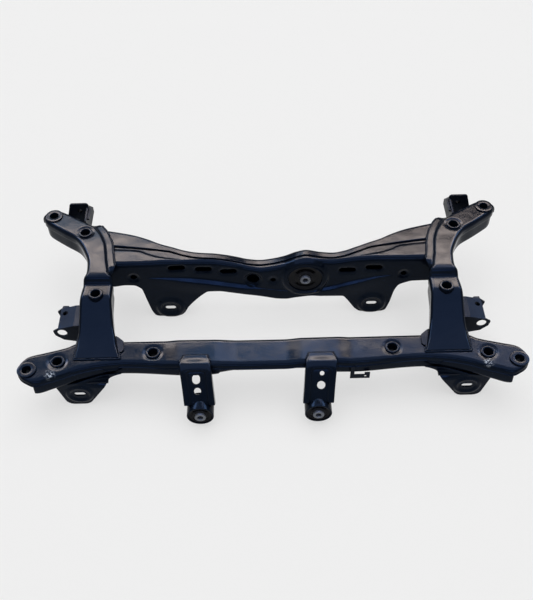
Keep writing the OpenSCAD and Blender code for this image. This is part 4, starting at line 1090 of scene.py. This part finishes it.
def wall_relief(grid):
    """How far each point of the front wall stands forward: ear rings, bush rim and dished holes."""
    lift = np.zeros(grid.shape[:2])
    for side in SIDES.values():
        away = to_slot(grid, side * REAR_EAR_X, REAR_SLOT_Z, RING_RUN)
        rise = np.clip((RING_EDGE - away) / RING_SLOPE, 0, 1)
        lift += RING_RISE * rise - RING_RISE * fade(away, *RING_DISH)
    lift += 4.0 * fade(to_slot(grid, REAR_BUSH[0], REAR_BUSH[2], 0), 51, 59)
    for x, z in WALL_SLOTS:
        lift -= 1.6 * fade(to_slot(grid, x, z, WALL_SLOT_RUN), WALL_SLOT_R + 0.5, WALL_SLOT_R + 5)
    for x, z, r in WALL_HOLES:
        lift -= min(4.5, r * 0.35) * fade(to_slot(grid, x, z, 0), r + 1, r + 9)
    return lift * (grid[:, :, 1] < REAR_WALL_Y + SHOULDER + 1)


def build_rear_beam():
    """The two pressings of the rear beam."""
    def through(x, z, radius, **form):
        return rod((x, REAR_WALL_Y - 14, z), ALONG, radius, 40, **form)

    cutters = [through(x, z, WALL_SLOT_R, reach=(WALL_SLOT_RUN, 0, 0)) for x, z in WALL_SLOTS]
    cutters += [through(x, z, r) for x, z, r in WALL_HOLES]
    for side in SIDES.values():
        cutters.append(through(side * REAR_EAR_X, REAR_SLOT_Z, ARM_SLOT_R, reach=(ARM_SLOT_RUN, 0, 0)))
    cutters.append(through(REAR_BUSH[0], REAR_BUSH[2], REAR_BUSH_HOLE_R, sides=96))
    grid = raise_crease(rear_grid(rear_front_line, 2.0))
    grid[:, :, 1] -= wall_relief(grid)
    pressing("rear_beam_front_shell", "rear_beam_front", grid, (0, -1, 0.5), cutters)
    start = (REAR_BUSH[0], REAR_WALL_Y + 10, REAR_BUSH[2])
    pressing("rear_beam_rear_shell", "rear_beam_rear", rear_grid(rear_back_line), (0, 1, 0.5),
             [rod(start, ALONG, REAR_BUSH_HOLE_R, 90, sides=96)])


# Front differential brackets

DIFF_START = 24.0
DIFF_FLANGE = 24.0
DIFF_FOLD = 30.0
DIFF_BOW = DIFF_FOLD * math.pi / 4
DIFF_EDGE_R = 4
DIFF_CROWN = 1.2
PANEL_DEPTH = 4.6
PANEL_BEVEL = 1.5
PANEL_TOP = 9.0
PANEL_ROUND = 18.0
FRONT_BUSH_R = 30.0
SLANT = math.sqrt(0.5)
# Holes in the panels: across, along, radius and half run along
DIFF_HOLES = {
    "left": [(-1, 37.5, 8.7, 2.1), (-1, 64, 7.7, 0)],
    "right": [(3, 30, 5, 0), (3, 56, 9, 0)]}


class DiffBracket:
    """Bracket folded over the front beam and running down to a bush."""

    def __init__(self, bush):
        _, self.plate, self.bend, _, _ = sheet_sizes()
        self.x, self.y, self.z = bush
        self.wall = value_at(FRONT_FRONT_ROWS, abs(self.x))
        self.centre = (self.wall + 1, FRONT_TOP_Z + PAD_LIFT + SEAM + self.plate - DIFF_FOLD)
        drop = self.centre[1] + DIFF_FOLD * SLANT - self.z - FRONT_BUSH_R + 2
        self.length = DIFF_BOW + drop / SLANT
        half = DIFF_W / 2
        # Place along, half width and depth of the side flanges
        self.rows = [
            (-DIFF_START, half - 7, 0.02), (-8, half - 1, 0.02), (0, half, 0.02), (8, half, 4),
            (20, half, 13), (32, half - 0.5, 20), (self.length * 0.75, half - 1, DIFF_FLANGE),
            (self.length, FRONT_BUSH_R + self.plate, DIFF_FLANGE)]

    def column(self, k, s):
        """One column of the bracket's rows at s along it."""
        return value_at([(row[0], row[k]) for row in self.rows], s)

    def face(self, s):
        """Point on the face at s and the way out of it: over the fold, then straight to the bush."""
        turn = math.radians(90 if s < 0 else 90 + min(45, math.degrees(s / DIFF_FOLD)))
        out = (math.cos(turn), math.sin(turn))
        past = max(0.0, s - DIFF_BOW) * SLANT
        y = self.centre[0] + DIFF_FOLD * out[0] + max(0.0, -s) - past
        return (y, self.centre[1] + DIFF_FOLD * out[1] - past), out

    def put(self, s, across, depth):
        """Point at s along, across from the middle and out from the face."""
        (y, z), out = self.face(s)
        lean = math.copysign(DIFF_LEAN, self.x) * (1 - min(1, max(0, s / self.length)))
        return (self.x + lean + across, y + out[0] * depth, z + out[1] * depth)

    def panel(self, s, across, w):
        """Depth of the pressed panel: flat inside a rounded frame that is open at the bush."""
        side = abs(across) - (w - 5 - PANEL_ROUND)
        top = PANEL_TOP + PANEL_ROUND - s
        edge = math.hypot(max(side, 0), max(top, 0)) + min(max(side, top), 0) - PANEL_ROUND
        bevel = min(1.0, max(0.0, (3.0 - edge) / 10))
        return PANEL_BEVEL * bevel + PANEL_DEPTH * float(fade(edge, -12.0, -6.5))

    def line(self, s):
        """Section at s: flange, bend, crowned face with its panel, bend and flange."""
        w, deep = self.column(1, s), self.column(2, s)
        r = DIFF_EDGE_R
        crown = DIFF_CROWN * float(fade(abs(s - 6), 4, 22))
        left = run((-w, -deep - r), (-w, -r), 8) + arc(-w + r, -r, r, 180, 90, 6)
        face = []
        for across in np.linspace(-w + r, w - r, 34)[1:-1]:
            face.append((across, crown * (1 - (across / w)**2) - self.panel(s, across, w)))
        return left + face + [(-a, d) for a, d in left[::-1]]

    def grid(self, step=2.0):
        """Grid of the whole bracket."""
        places = spaced(-DIFF_START, self.length, step)
        return np.array([[self.put(s, a, d) for a, d in self.line(s)] for s in places])

    def beam(self):
        """The part of the front beam that the flanges are trimmed to: points and faces."""
        bend = self.bend
        y1 = self.wall - SEAM
        z0, z1 = FRONT_BOTTOM_Z - 4, FRONT_TOP_Z + PAD_LIFT + SEAM
        outline = ([(y1 + 60, z1)] + arc(y1 + bend, z1 - bend, bend, 90, 180)
                   + [(y1 - FRONT_DRAFT, z0), (y1 + 60, z0)])
        return prism(*([(self.x + across, y, z) for y, z in outline] for across in (-60, 60)))


def diff_bracket(name):
    """The bracket of one side."""
    return DiffBracket(LEFT_BUSH if name == "left" else RIGHT_BUSH)


def build_diff_bracket(name):
    """One differential bracket, cut for its bush, its holes and the beam."""
    bracket = diff_bracket(name)
    start = (bracket.x, bracket.y - 40, bracket.z)
    cutters = [rod(start, ALONG, FRONT_BUSH_R + SEAM, 80, sides=96)]
    for across, s, r, half in DIFF_HOLES[name]:
        reach = (0, -half * SLANT, -half * SLANT) if half else None
        cutters.append(rod(bracket.put(s, across, 6), (0, SLANT, -SLANT), r, 24, reach=reach))
    pressing(name + "_diff_bracket_shell", name + "_diff_bracket", bracket.grid(), (0, -1, 1),
             cutters, [bracket.beam()], thick=bracket.plate)


# Front arm brackets

EAR_GAP = 52.0
EAR_IN = 69.0
EAR_OUT = 52.0
EAR_ROUND = 22.0
EAR_TOP = FRONT_BOTTOM_Z - SEAM
# Lower outline of an ear, outward from its slot and up from the floor
EAR_FOOT = np.array(
    [(-EAR_IN, EAR_TOP)] + arc(-6, EAR_ROUND, EAR_ROUND, 210, 270)
    + arc(16, EAR_ROUND, EAR_ROUND, 270, 330) + [(EAR_OUT, EAR_TOP)])
# The front plate alone runs on as a blade up the beam's wall: its lower and its upper edge
BLADE_IN = 100.0
BLADE_FOOT = np.concatenate([[(-BLADE_IN, 91), (-90, 87.5), (-80, 82.5), (-74, 78.5)], EAR_FOOT])
BLADE_HEAD = np.array([(-BLADE_IN, 92.5), (-72, 89), (20, 75), (EAR_OUT, EAR_TOP)])
# Heights between which the plate leaves its plane for the wall, how far it may, and how deep it sits there
BLADE_RISE = (58, 80)
BLADE_BACK = 14
BLADE_SINK = 3.6
# Ring pressed round the slot and the dish within it: height, inner and outer edge
EAR_RING = (3.4, 25, 31)
EAR_DISH = (3.2, 16.5, 22)


def ear_skin(side, plate):
    """Outer points of an ear's front plate."""
    rows = []
    for u in spaced(-BLADE_IN, EAR_OUT - 1.5, 2.0):
        x = FRONT_EAR_X + u
        section = front_section(x)
        foot = float(np.interp(u, BLADE_FOOT[:, 0], BLADE_FOOT[:, 1]))
        head = float(np.interp(u, BLADE_HEAD[:, 0], BLADE_HEAD[:, 1]))
        row = []
        for z in np.linspace(foot, head, 30):
            wall = section[1] + BLADE_SINK - front_out(section, z) - plate - SEAM
            k = 1 - float(fade(z, *BLADE_RISE))
            y = FRONT_EAR_Y * (1 - k) + min(max(wall, FRONT_EAR_Y), FRONT_EAR_Y + BLADE_BACK) * k
            away = math.hypot(max(abs(u) - RING_RUN, 0), z - FRONT_SLOT_Z)
            ring, dish = fade(away, *EAR_RING[1:]), fade(away, *EAR_DISH[1:])
            y -= EAR_RING[0] * float(ring) - EAR_DISH[0] * float(dish)
            row.append((side * x, y, z))
        rows.append(row)
    return np.array(rows)


def build_arm_bracket(name):
    """One arm bracket: front plate, roof and rear plate, with a slot through both plates."""
    side = SIDES[name]
    _, plate, _, edge, _ = sheet_sizes()
    skin = sheet_mesh(ear_skin(side, plate), plate, edge, (0, -1, 0))
    outline = [(side * (FRONT_EAR_X + u), z) for u, z in EAR_FOOT]
    y0, y1 = FRONT_EAR_Y + plate + 0.1, FRONT_EAR_Y + plate + EAR_GAP
    x0, x1 = side * (FRONT_EAR_X - EAR_IN), side * (FRONT_EAR_X + EAR_OUT)
    roof = [(x0, EAR_TOP - plate), (x1, EAR_TOP - plate), (x1, EAR_TOP), (x0, EAR_TOP)]
    plates = [skin, slab(roof, y0, y1), slab(outline, y1 + 0.1, y1 + plate)]
    bracket = joined(name + "_front_arm_bracket_plates", plates)
    start = (side * FRONT_EAR_X, FRONT_EAR_Y - 20, FRONT_SLOT_Z)
    cut(bracket, [rod(start, ALONG, ARM_SLOT_R, 100, reach=(ARM_SLOT_RUN, 0, 0))])
    dress(bracket, finish_named("dip_coat"), [name + "_front_arm_bracket"])


# Collars, tubes and bushes

COLLAR_BORE_R = 10.0
COLLAR_R = 15.0
COLLAR_BRIM = 3
TUBE_R = 16.5
BUSH_WALL = 3.5
CORE_R = 12.5
CORE_BORE_R = 6.5


def tube_corners(inner, outer, low, high):
    """Corners of a plain tube's profile."""
    return [(inner, low), (outer, low), (outer, high), (inner, high)]


def build_turned(node, corners, rounding, places, axis, sides=72, finish="dip_coat"):
    """Rings turned from one profile with rounded corners, that stand for their node."""
    profile = filleted(corners, *rounding)
    rings = [turned(profile, place, axis, sides) for place in places]
    dress(joined(node + "_turned", rings), finish_named(finish), [node])


def build_collars():
    """The body-mount collars and the spacer tubes."""
    for end, x, y in (("front", FRONT_EYE_X, FRONT_EYE_Y), ("rear", REAR_EYE_X, REAR_EYE_Y)):
        for name, side in SIDES.items():
            node = end + "_" + name + "_collar"
            low, high = node_box(node)
            brim, under = (high[0] - low[0]) / 2, high[2] - COLLAR_BRIM
            corners = [(COLLAR_BORE_R, low[2]), (COLLAR_R, low[2]), (COLLAR_R, under), (brim, under),
                       (brim, high[2]), (COLLAR_BORE_R, high[2])]
            build_turned(node, corners, (1.6, 4), [(side * x, y, 0)], UP)
    holes = {
        "wing_tubes": WING_HOLE, "beam_tubes": BEAM_HOLE, "arm_tubes": ARM_HOLE, "rail_tubes": RAIL_HOLE}
    for node, place in holes.items():
        low, high = node_box(node)
        corners = tube_corners(TUBE_BORE_R, TUBE_R, low[2], high[2])
        build_turned(node, corners, (2.2, 5), [(x, y, 0) for x, y in both(*place)], UP)


def kidney(place, y0, y1, inner, outer, start, end, n=24):
    """Curved slot through a bush: points and faces."""
    angles = np.radians(np.linspace(start, end, n))
    ring = ([(math.cos(a) * outer, math.sin(a) * outer) for a in angles]
            + [(math.cos(a) * inner, math.sin(a) * inner) for a in angles[::-1]])
    return slab([(place[0] + x, place[2] + z) for x, z in ring], y0, y1)


def build_bush(name, place):
    """One bush: sleeve, rubber with two kidney slots, and core."""
    at = (place[0], 0, place[2])
    low, high = node_box(name + "_bush_sleeve")
    r = (high[0] - low[0]) / 2
    inner = r - BUSH_WALL
    corners = tube_corners(inner, r, low[1], high[1])
    build_turned(name + "_bush_sleeve", corners, (1.3, 4), [at], ALONG, 96)
    low, high = node_box(name + "_bush_rubber")
    rim, hub = inner - SEAM, CORE_R + SEAM
    mid = (rim + hub) / 2
    face = [(hub, -1.5), (hub + 3, -1.0), (mid, 3.2), (rim - 3, 1.0), (rim, 0)]
    profile = [(a, low[1] + d) for a, d in face] + [(a, high[1] - d) for a, d in face[::-1]]
    rubber = joined(name + "_bush_rubber_moulded", [turned(filleted(profile, 1.5, 3), at, ALONG, 96)])
    half = (rim - CORE_R) / 7
    ends = (low[1] - 4, high[1] + 4)
    cut(rubber, [kidney(place, *ends, mid - half, mid + half, a, a + 110) for a in (35, 215)])
    dress(rubber, finish_named("bush_rubber"), [name + "_bush_rubber"])
    low, high = node_box(name + "_bush_core")
    corners = tube_corners(CORE_BORE_R, CORE_R, low[1], high[1])
    build_turned(
        name + "_bush_core", corners, (1.2, 4), [at], ALONG, finish="turned_steel")


# Welds

# Widths as shares of the rails' bead
FLANGE_WELD = 10 / 11
BRACKET_WELD = 8 / 11
WELD_SIDES = 12
# How far a bead's middle lies from the edge that it runs along
WELD_OUT = 0.8
WELD_END_OUT = 1.2
LUMP_STEP = 9.0
LUMP_SIZE = 0.22


def weld_bead(path, seed, share=1.0):
    """Rippled bead along a path: points and faces."""
    weld = bpy.context.scene.subframe_weld
    radius = weld.width / MM * share / 2
    pitch = weld.pitch / MM
    path = np.array(path, float)
    runs = np.concatenate([[0], np.cumsum(np.linalg.norm(np.diff(path, axis=0), axis=1))])
    places = spaced(0, runs[-1], pitch / 4)
    middle = np.stack([np.interp(places, runs, path[:, k]) for k in range(3)], axis=1)
    rng = np.random.default_rng(seed)
    knots = spaced(0, runs[-1], LUMP_STEP)
    lumps = np.interp(places, knots, rng.uniform(-LUMP_SIZE, LUMP_SIZE, len(knots)))
    size = radius * (1 + lumps + 0.10 * np.sin(2 * math.pi * places / pitch))
    size *= np.clip(np.minimum(places, runs[-1] - places) / radius + 0.25, 0, 1)**0.5
    along = np.gradient(middle, axis=0)
    along /= np.linalg.norm(along, axis=1, keepdims=True)
    side = np.cross(along, UP)
    side /= np.maximum(np.linalg.norm(side, axis=1, keepdims=True), 1e-6)
    up = np.cross(side, along)
    points = []
    for i in range(len(places)):
        for k in range(WELD_SIDES):
            a = 2 * math.pi * k / WELD_SIDES
            points.append(middle[i] + size[i] * (side[i] * math.cos(a) + up[i] * 0.75 * math.sin(a)))
    n = len(points)
    caps = [tuple(range(WELD_SIDES)), tuple(range(n - 1, n - WELD_SIDES - 1, -1))]
    return points, tube_faces(len(places), WELD_SIDES) + caps


def rail_foot_path(side):
    """Round the rail's end on the front beam."""
    z = FRONT_TOP_Z + 1.0
    runs = spaced(WALL_END + 4, RAIL_END, 3.0)
    outer = [rail_put(s, (-rail_half(2, s) - WELD_OUT, z), side) for s in runs]
    inner = [rail_put(s, (rail_half(3, s) + WELD_OUT, z), side) for s in runs]
    y = outer[-1][1] - WELD_END_OUT
    end = [(x, y, z) for x in np.linspace(outer[-1][0], inner[-1][0], 24)]
    return outer[:-1] + end + inner[-2::-1]


def flange_path(side):
    """Along the rail's flange on the rear beam."""
    z = RAIL_TOP_Z - RAIL_STEP - 2.6
    runs = spaced(RAIL_RUNS[4] + 2, RAIL_RUNS[6] + 24, 3.0)
    return [rail_put(s, (rail_half(3, s) + FLANGE_LEN + WELD_OUT, z), side) for s in runs]


def bracket_path(bracket):
    """Round the bracket's foot on the front beam."""
    depth = -bracket.plate + WELD_OUT
    runs = spaced(-6, -DIFF_START, 3.0)
    halves = [bracket.column(1, s) + WELD_OUT / 2 for s in runs]
    left = [bracket.put(s, -half, depth) for s, half in zip(runs, halves)]
    right = [bracket.put(s, half, depth) for s, half in zip(runs, halves)]
    w = bracket.column(1, -DIFF_START)
    end = [bracket.put(-DIFF_START - WELD_END_OUT, a, depth) for a in np.linspace(-w, w, 16)]
    return left + end + right[::-1]


def build_welds():
    """The beads of the rails and of the differential brackets."""
    coat = finish_named("dip_coat")
    for seed, (name, side) in enumerate(SIDES.items()):
        beads = [
            weld_bead(rail_foot_path(side), seed), weld_bead(flange_path(side), seed + 10, FLANGE_WELD)]
        dress(joined(name + "_rail_welds", beads, 60), coat, [])
        bead = weld_bead(bracket_path(diff_bracket(name)), seed + 20, BRACKET_WELD)
        dress(joined(name + "_diff_bracket_weld", [bead], 60), coat, [])


# Pieces that keep their solids

PLAIN_PAIRS = ["rear_arm_plate", "link_bracket", "tower_bracket", "corner_gusset"]
PLAIN_NODES = [
    *(side + "_" + pair for pair in PLAIN_PAIRS for side in SIDES), "harness_bracket", "link_weld_nuts"]
PLAIN_EDGE = 0.7


def build_plain_nodes():
    """Coat and softened edges for the pieces that keep their solids."""
    for node in PLAIN_NODES:
        piece = frame["nodes"][node]
        piece.data.materials.clear()
        piece.data.materials.append(finish_named("dull_coat"))
        soften = piece.modifiers.new("edges", "BEVEL")
        soften.width = PLAIN_EDGE * MM
        soften.segments = 2
        soften.limit_method = "ANGLE"
        soften.angle_limit = math.radians(40)


# Stage

# Bearing and height of a lamp's middle, its width and height in degrees, its radiance and its colour
KEY = (0, 80.0, 60, 60, 2.0, (1.0, 1.0, 1.0))
# Cards that only show as reflections in the coat
CARDS = {
    "back_strip": (0, 46.6, 58, 5.4, 53.0, (1.0, 0.73, 0.55)),
    "high_card_left": (-19.5, 53.5, 23, 8.0, 3.9, (0.42, 0.64, 1.0)),
    "high_card_middle": (-0.5, 53.5, 13, 8.0, 5.7, (0.44, 0.66, 1.0)),
    "high_card_right": (19, 53.5, 24, 8.0, 9.8, (0.76, 0.77, 1.0)),
    "low_card": (-14, 40.0, 34, 5.0, 9.6, (0.74, 0.86, 1.0)),
    "sky_card": (180, 85.0, 76, 63, 3.3, (0.50, 0.62, 1.0)),
    "left_card": (-52, 40.0, 26, 18, 15.0, (0.46, 0.64, 1.0)),
    "right_card": (52, 40.0, 26, 18, 13.0, (0.46, 0.64, 1.0)),
    "front_strip": (180, 24.5, 34, 7.5, 9.0, (0.28, 0.46, 1.0)),
}
LAMP_AWAY = 9.0
WORLD_GLOW = 0.42
# How much of the floor's light doesn't depend on the lamps
BACKDROP_SHARE = 0.7
# In metres: from the middle to the floor's bend, the bend's radius, and the gap below the part
FLOOR_REACH = 14.0
SWEEP = 4.0
FLOOR_GAP = 0.0005
FLOOR_SIDES = 128


def area_lamp(name, bearing, height, wide, tall, glow, colour):
    """Soft lamp that covers an angle of wide by tall degrees as seen from the subframe."""
    lamp = bpy.data.lights.new(name, "AREA")
    lamp.shape = "RECTANGLE"
    lamp.size = 2 * LAMP_AWAY * math.tan(math.radians(wide / 2))
    lamp.size_y = 2 * LAMP_AWAY * math.tan(math.radians(tall / 2))
    lamp.energy = glow * math.pi * lamp.size * lamp.size_y
    lamp.color = colour
    holder = bpy.data.objects.new(name, lamp)
    bearing, height = math.radians(bearing), math.radians(height)
    flat = math.cos(height)
    place = Vector((flat * math.sin(bearing), flat * math.cos(bearing), math.sin(height)))
    holder.location = place * LAMP_AWAY + Vector((0, 0, 0.1))
    holder.rotation_euler = (-place).to_track_quat("-Z", "Y").to_euler()
    holder.visible_camera = False
    bpy.context.collection.objects.link(holder)
    return holder


def floor_finish(colour):
    """Pale paper: it takes the object's shadow, and camera and mirror rays see it lightened."""
    finish, tree, shader, place = new_finish("floor_paper")
    tint = blend(tree, noise(tree, place, 3.0), rgba(colour), rgba([c * 0.995 for c in colour]))
    fill(tree, shader, Base_Color=tint, Roughness=0.9, Specular_IOR_Level=0.0)
    rays = tree.nodes.new("ShaderNodeLightPath").outputs
    seen = math_node(tree, "MAXIMUM", rays["Is Camera Ray"], rays["Is Glossy Ray"])
    seen = math_node(tree, "MAXIMUM", seen, rays["Is Transmission Ray"])
    glow = node_link(tree, "ShaderNodeEmission", Color=tint, Strength=1.0)
    lay_over(tree, shader, glow, times(tree, seen, BACKDROP_SHARE))
    return finish


def studio_floor():
    """Round paper floor that curves up into a low wall far behind the lamps."""
    turn = np.linspace(0, math.pi / 2, 17)
    reach = np.concatenate([[2.0], FLOOR_REACH + SWEEP * np.sin(turn), [FLOOR_REACH + SWEEP]])
    rise = np.concatenate([[0.0], SWEEP * (1 - np.cos(turn)), [SWEEP + 1.0]])
    angles = np.arange(FLOOR_SIDES) * 2 * math.pi / FLOOR_SIDES
    points = [
        (r * math.cos(a), r * math.sin(a), z - FLOOR_GAP) for r, z in zip(reach, rise) for a in angles]
    faces = [tuple(range(FLOOR_SIDES))] + [face[::-1] for face in tube_faces(len(reach), FLOOR_SIDES)]
    mesh = bpy.data.meshes.new("floor")
    mesh.from_pydata(points, [], faces)
    mesh.shade_smooth()
    floor = bpy.data.objects.new("floor", mesh)
    bpy.context.collection.objects.link(floor)
    return floor


def build_stage():
    """Floor, lamps and camera."""
    scene = bpy.context.scene
    stage = scene.subframe_stage
    floor = studio_floor()
    floor.data.materials.append(floor_finish(stage.floor))
    scene.world = bpy.data.worlds.new("studio")
    scene.world.use_nodes = True
    sky = scene.world.node_tree.nodes["Background"].inputs
    sky["Color"].default_value = (1.0, 1.0, 1.0, 1.0)
    sky["Strength"].default_value = WORLD_GLOW
    area_lamp("overhead_softbox", *KEY).visible_glossy = False
    for name, lamp in CARDS.items():
        area_lamp(name, *lamp).visible_diffuse = False
    lens = bpy.data.cameras.new("camera")
    lens.sensor_width = 36.0
    lens.lens = stage.focal_px * lens.sensor_width / max(IMAGE_W, IMAGE_H)
    camera = bpy.data.objects.new("camera", lens)
    tilt = Matrix.Rotation(math.radians(90) - stage.camera_drop, 4, "X")
    roll = Matrix.Rotation(-stage.camera_roll, 4, "Z")
    camera.matrix_world = Matrix.Translation(stage.camera_place) @ (tilt @ roll)
    bpy.context.collection.objects.link(camera)
    scene.camera = camera
    scene.view_settings.view_transform = "Standard"


class SUBFRAME_OT_front_beam(bpy.types.Operator):
    """Builds the two shells of the front beam"""
    bl_idname = "subframe.front_beam"
    bl_label = "Front Beam"

    def execute(self, context):
        build_front_beam()
        return {"FINISHED"}


class SUBFRAME_OT_rails(bpy.types.Operator):
    """Builds the side rails"""
    bl_idname = "subframe.rails"
    bl_label = "Side Rails"

    def execute(self, context):
        for name in SIDES:
            build_rail(name)
        return {"FINISHED"}


class SUBFRAME_OT_rear_beam(bpy.types.Operator):
    """Builds the two pressings of the rear beam"""
    bl_idname = "subframe.rear_beam"
    bl_label = "Rear Beam"

    def execute(self, context):
        build_rear_beam()
        return {"FINISHED"}


class SUBFRAME_OT_diff_brackets(bpy.types.Operator):
    """Builds the front differential brackets"""
    bl_idname = "subframe.diff_brackets"
    bl_label = "Differential Brackets"

    def execute(self, context):
        for name in SIDES:
            build_diff_bracket(name)
        return {"FINISHED"}


class SUBFRAME_OT_arm_brackets(bpy.types.Operator):
    """Builds the front arm brackets"""
    bl_idname = "subframe.arm_brackets"
    bl_label = "Front Arm Brackets"

    def execute(self, context):
        for name in SIDES:
            build_arm_bracket(name)
        return {"FINISHED"}


class SUBFRAME_OT_collars(bpy.types.Operator):
    """Builds the body-mount collars and the spacer tubes"""
    bl_idname = "subframe.collars"
    bl_label = "Collars and Tubes"

    def execute(self, context):
        build_collars()
        return {"FINISHED"}


class SUBFRAME_OT_bushes(bpy.types.Operator):
    """Builds the sleeves, rubbers and cores of the differential bushes"""
    bl_idname = "subframe.bushes"
    bl_label = "Bushes"

    def execute(self, context):
        for name, place in (("left", LEFT_BUSH), ("right", RIGHT_BUSH), ("rear", REAR_BUSH)):
            build_bush(name, place)
        return {"FINISHED"}


class SUBFRAME_OT_welds(bpy.types.Operator):
    """Lays the weld beads on the rails and brackets"""
    bl_idname = "subframe.welds"
    bl_label = "Welds"

    def execute(self, context):
        build_welds()
        return {"FINISHED"}


class SUBFRAME_OT_plain_nodes(bpy.types.Operator):
    """Finishes the small brackets and nuts that keep their solids"""
    bl_idname = "subframe.plain_nodes"
    bl_label = "Small Brackets"

    def execute(self, context):
        build_plain_nodes()
        return {"FINISHED"}


class SUBFRAME_OT_stage(bpy.types.Operator):
    """Builds the floor, the lamps and the camera"""
    bl_idname = "subframe.stage"
    bl_label = "Stage"

    def execute(self, context):
        build_stage()
        return {"FINISHED"}


STEPS = [
    "front_beam", "rails", "rear_beam", "diff_brackets", "arm_brackets", "collars", "bushes", "welds",
    "plain_nodes", "stage"]


class SUBFRAME_PT_panel(bpy.types.Panel):
    """Lists the subframe's sizes and building steps"""
    bl_idname = "SUBFRAME_PT_panel"
    bl_label = "Rear Subframe"
    bl_space_type = "VIEW_3D"
    bl_region_type = "UI"
    bl_category = "Subframe"

    def draw(self, context):
        for name, group in GROUPS.items():
            box = self.layout.box()
            for size in group.__annotations__:
                box.prop(getattr(context.scene, name), size)
        for step in STEPS:
            self.layout.operator("subframe." + step)


GROUPS = {
    "subframe_sheet": SubframeSheet, "subframe_weld": SubframeWeld, "subframe_finish": SubframeFinish,
    "subframe_stage": SubframeStage}
OPERATORS = [
    SUBFRAME_OT_front_beam, SUBFRAME_OT_rails, SUBFRAME_OT_rear_beam, SUBFRAME_OT_diff_brackets,
    SUBFRAME_OT_arm_brackets, SUBFRAME_OT_collars, SUBFRAME_OT_bushes, SUBFRAME_OT_welds,
    SUBFRAME_OT_plain_nodes, SUBFRAME_OT_stage]
CLASSES = [*GROUPS.values(), *OPERATORS, SUBFRAME_PT_panel]


def register():
    """Adds the sizes, the steps and the panel."""
    for cls in CLASSES:
        bpy.utils.register_class(cls)
    for name, group in GROUPS.items():
        setattr(bpy.types.Scene, name, bpy.props.PointerProperty(type=group))


def unregister():
    """Takes away what register added."""
    for name in GROUPS:
        delattr(bpy.types.Scene, name)
    for cls in reversed(CLASSES):
        bpy.utils.unregister_class(cls)


def main():
    """Builds everything."""
    register()
    for step in STEPS:
        getattr(bpy.ops.subframe, step)()


if __name__ == "__main__":
    main()
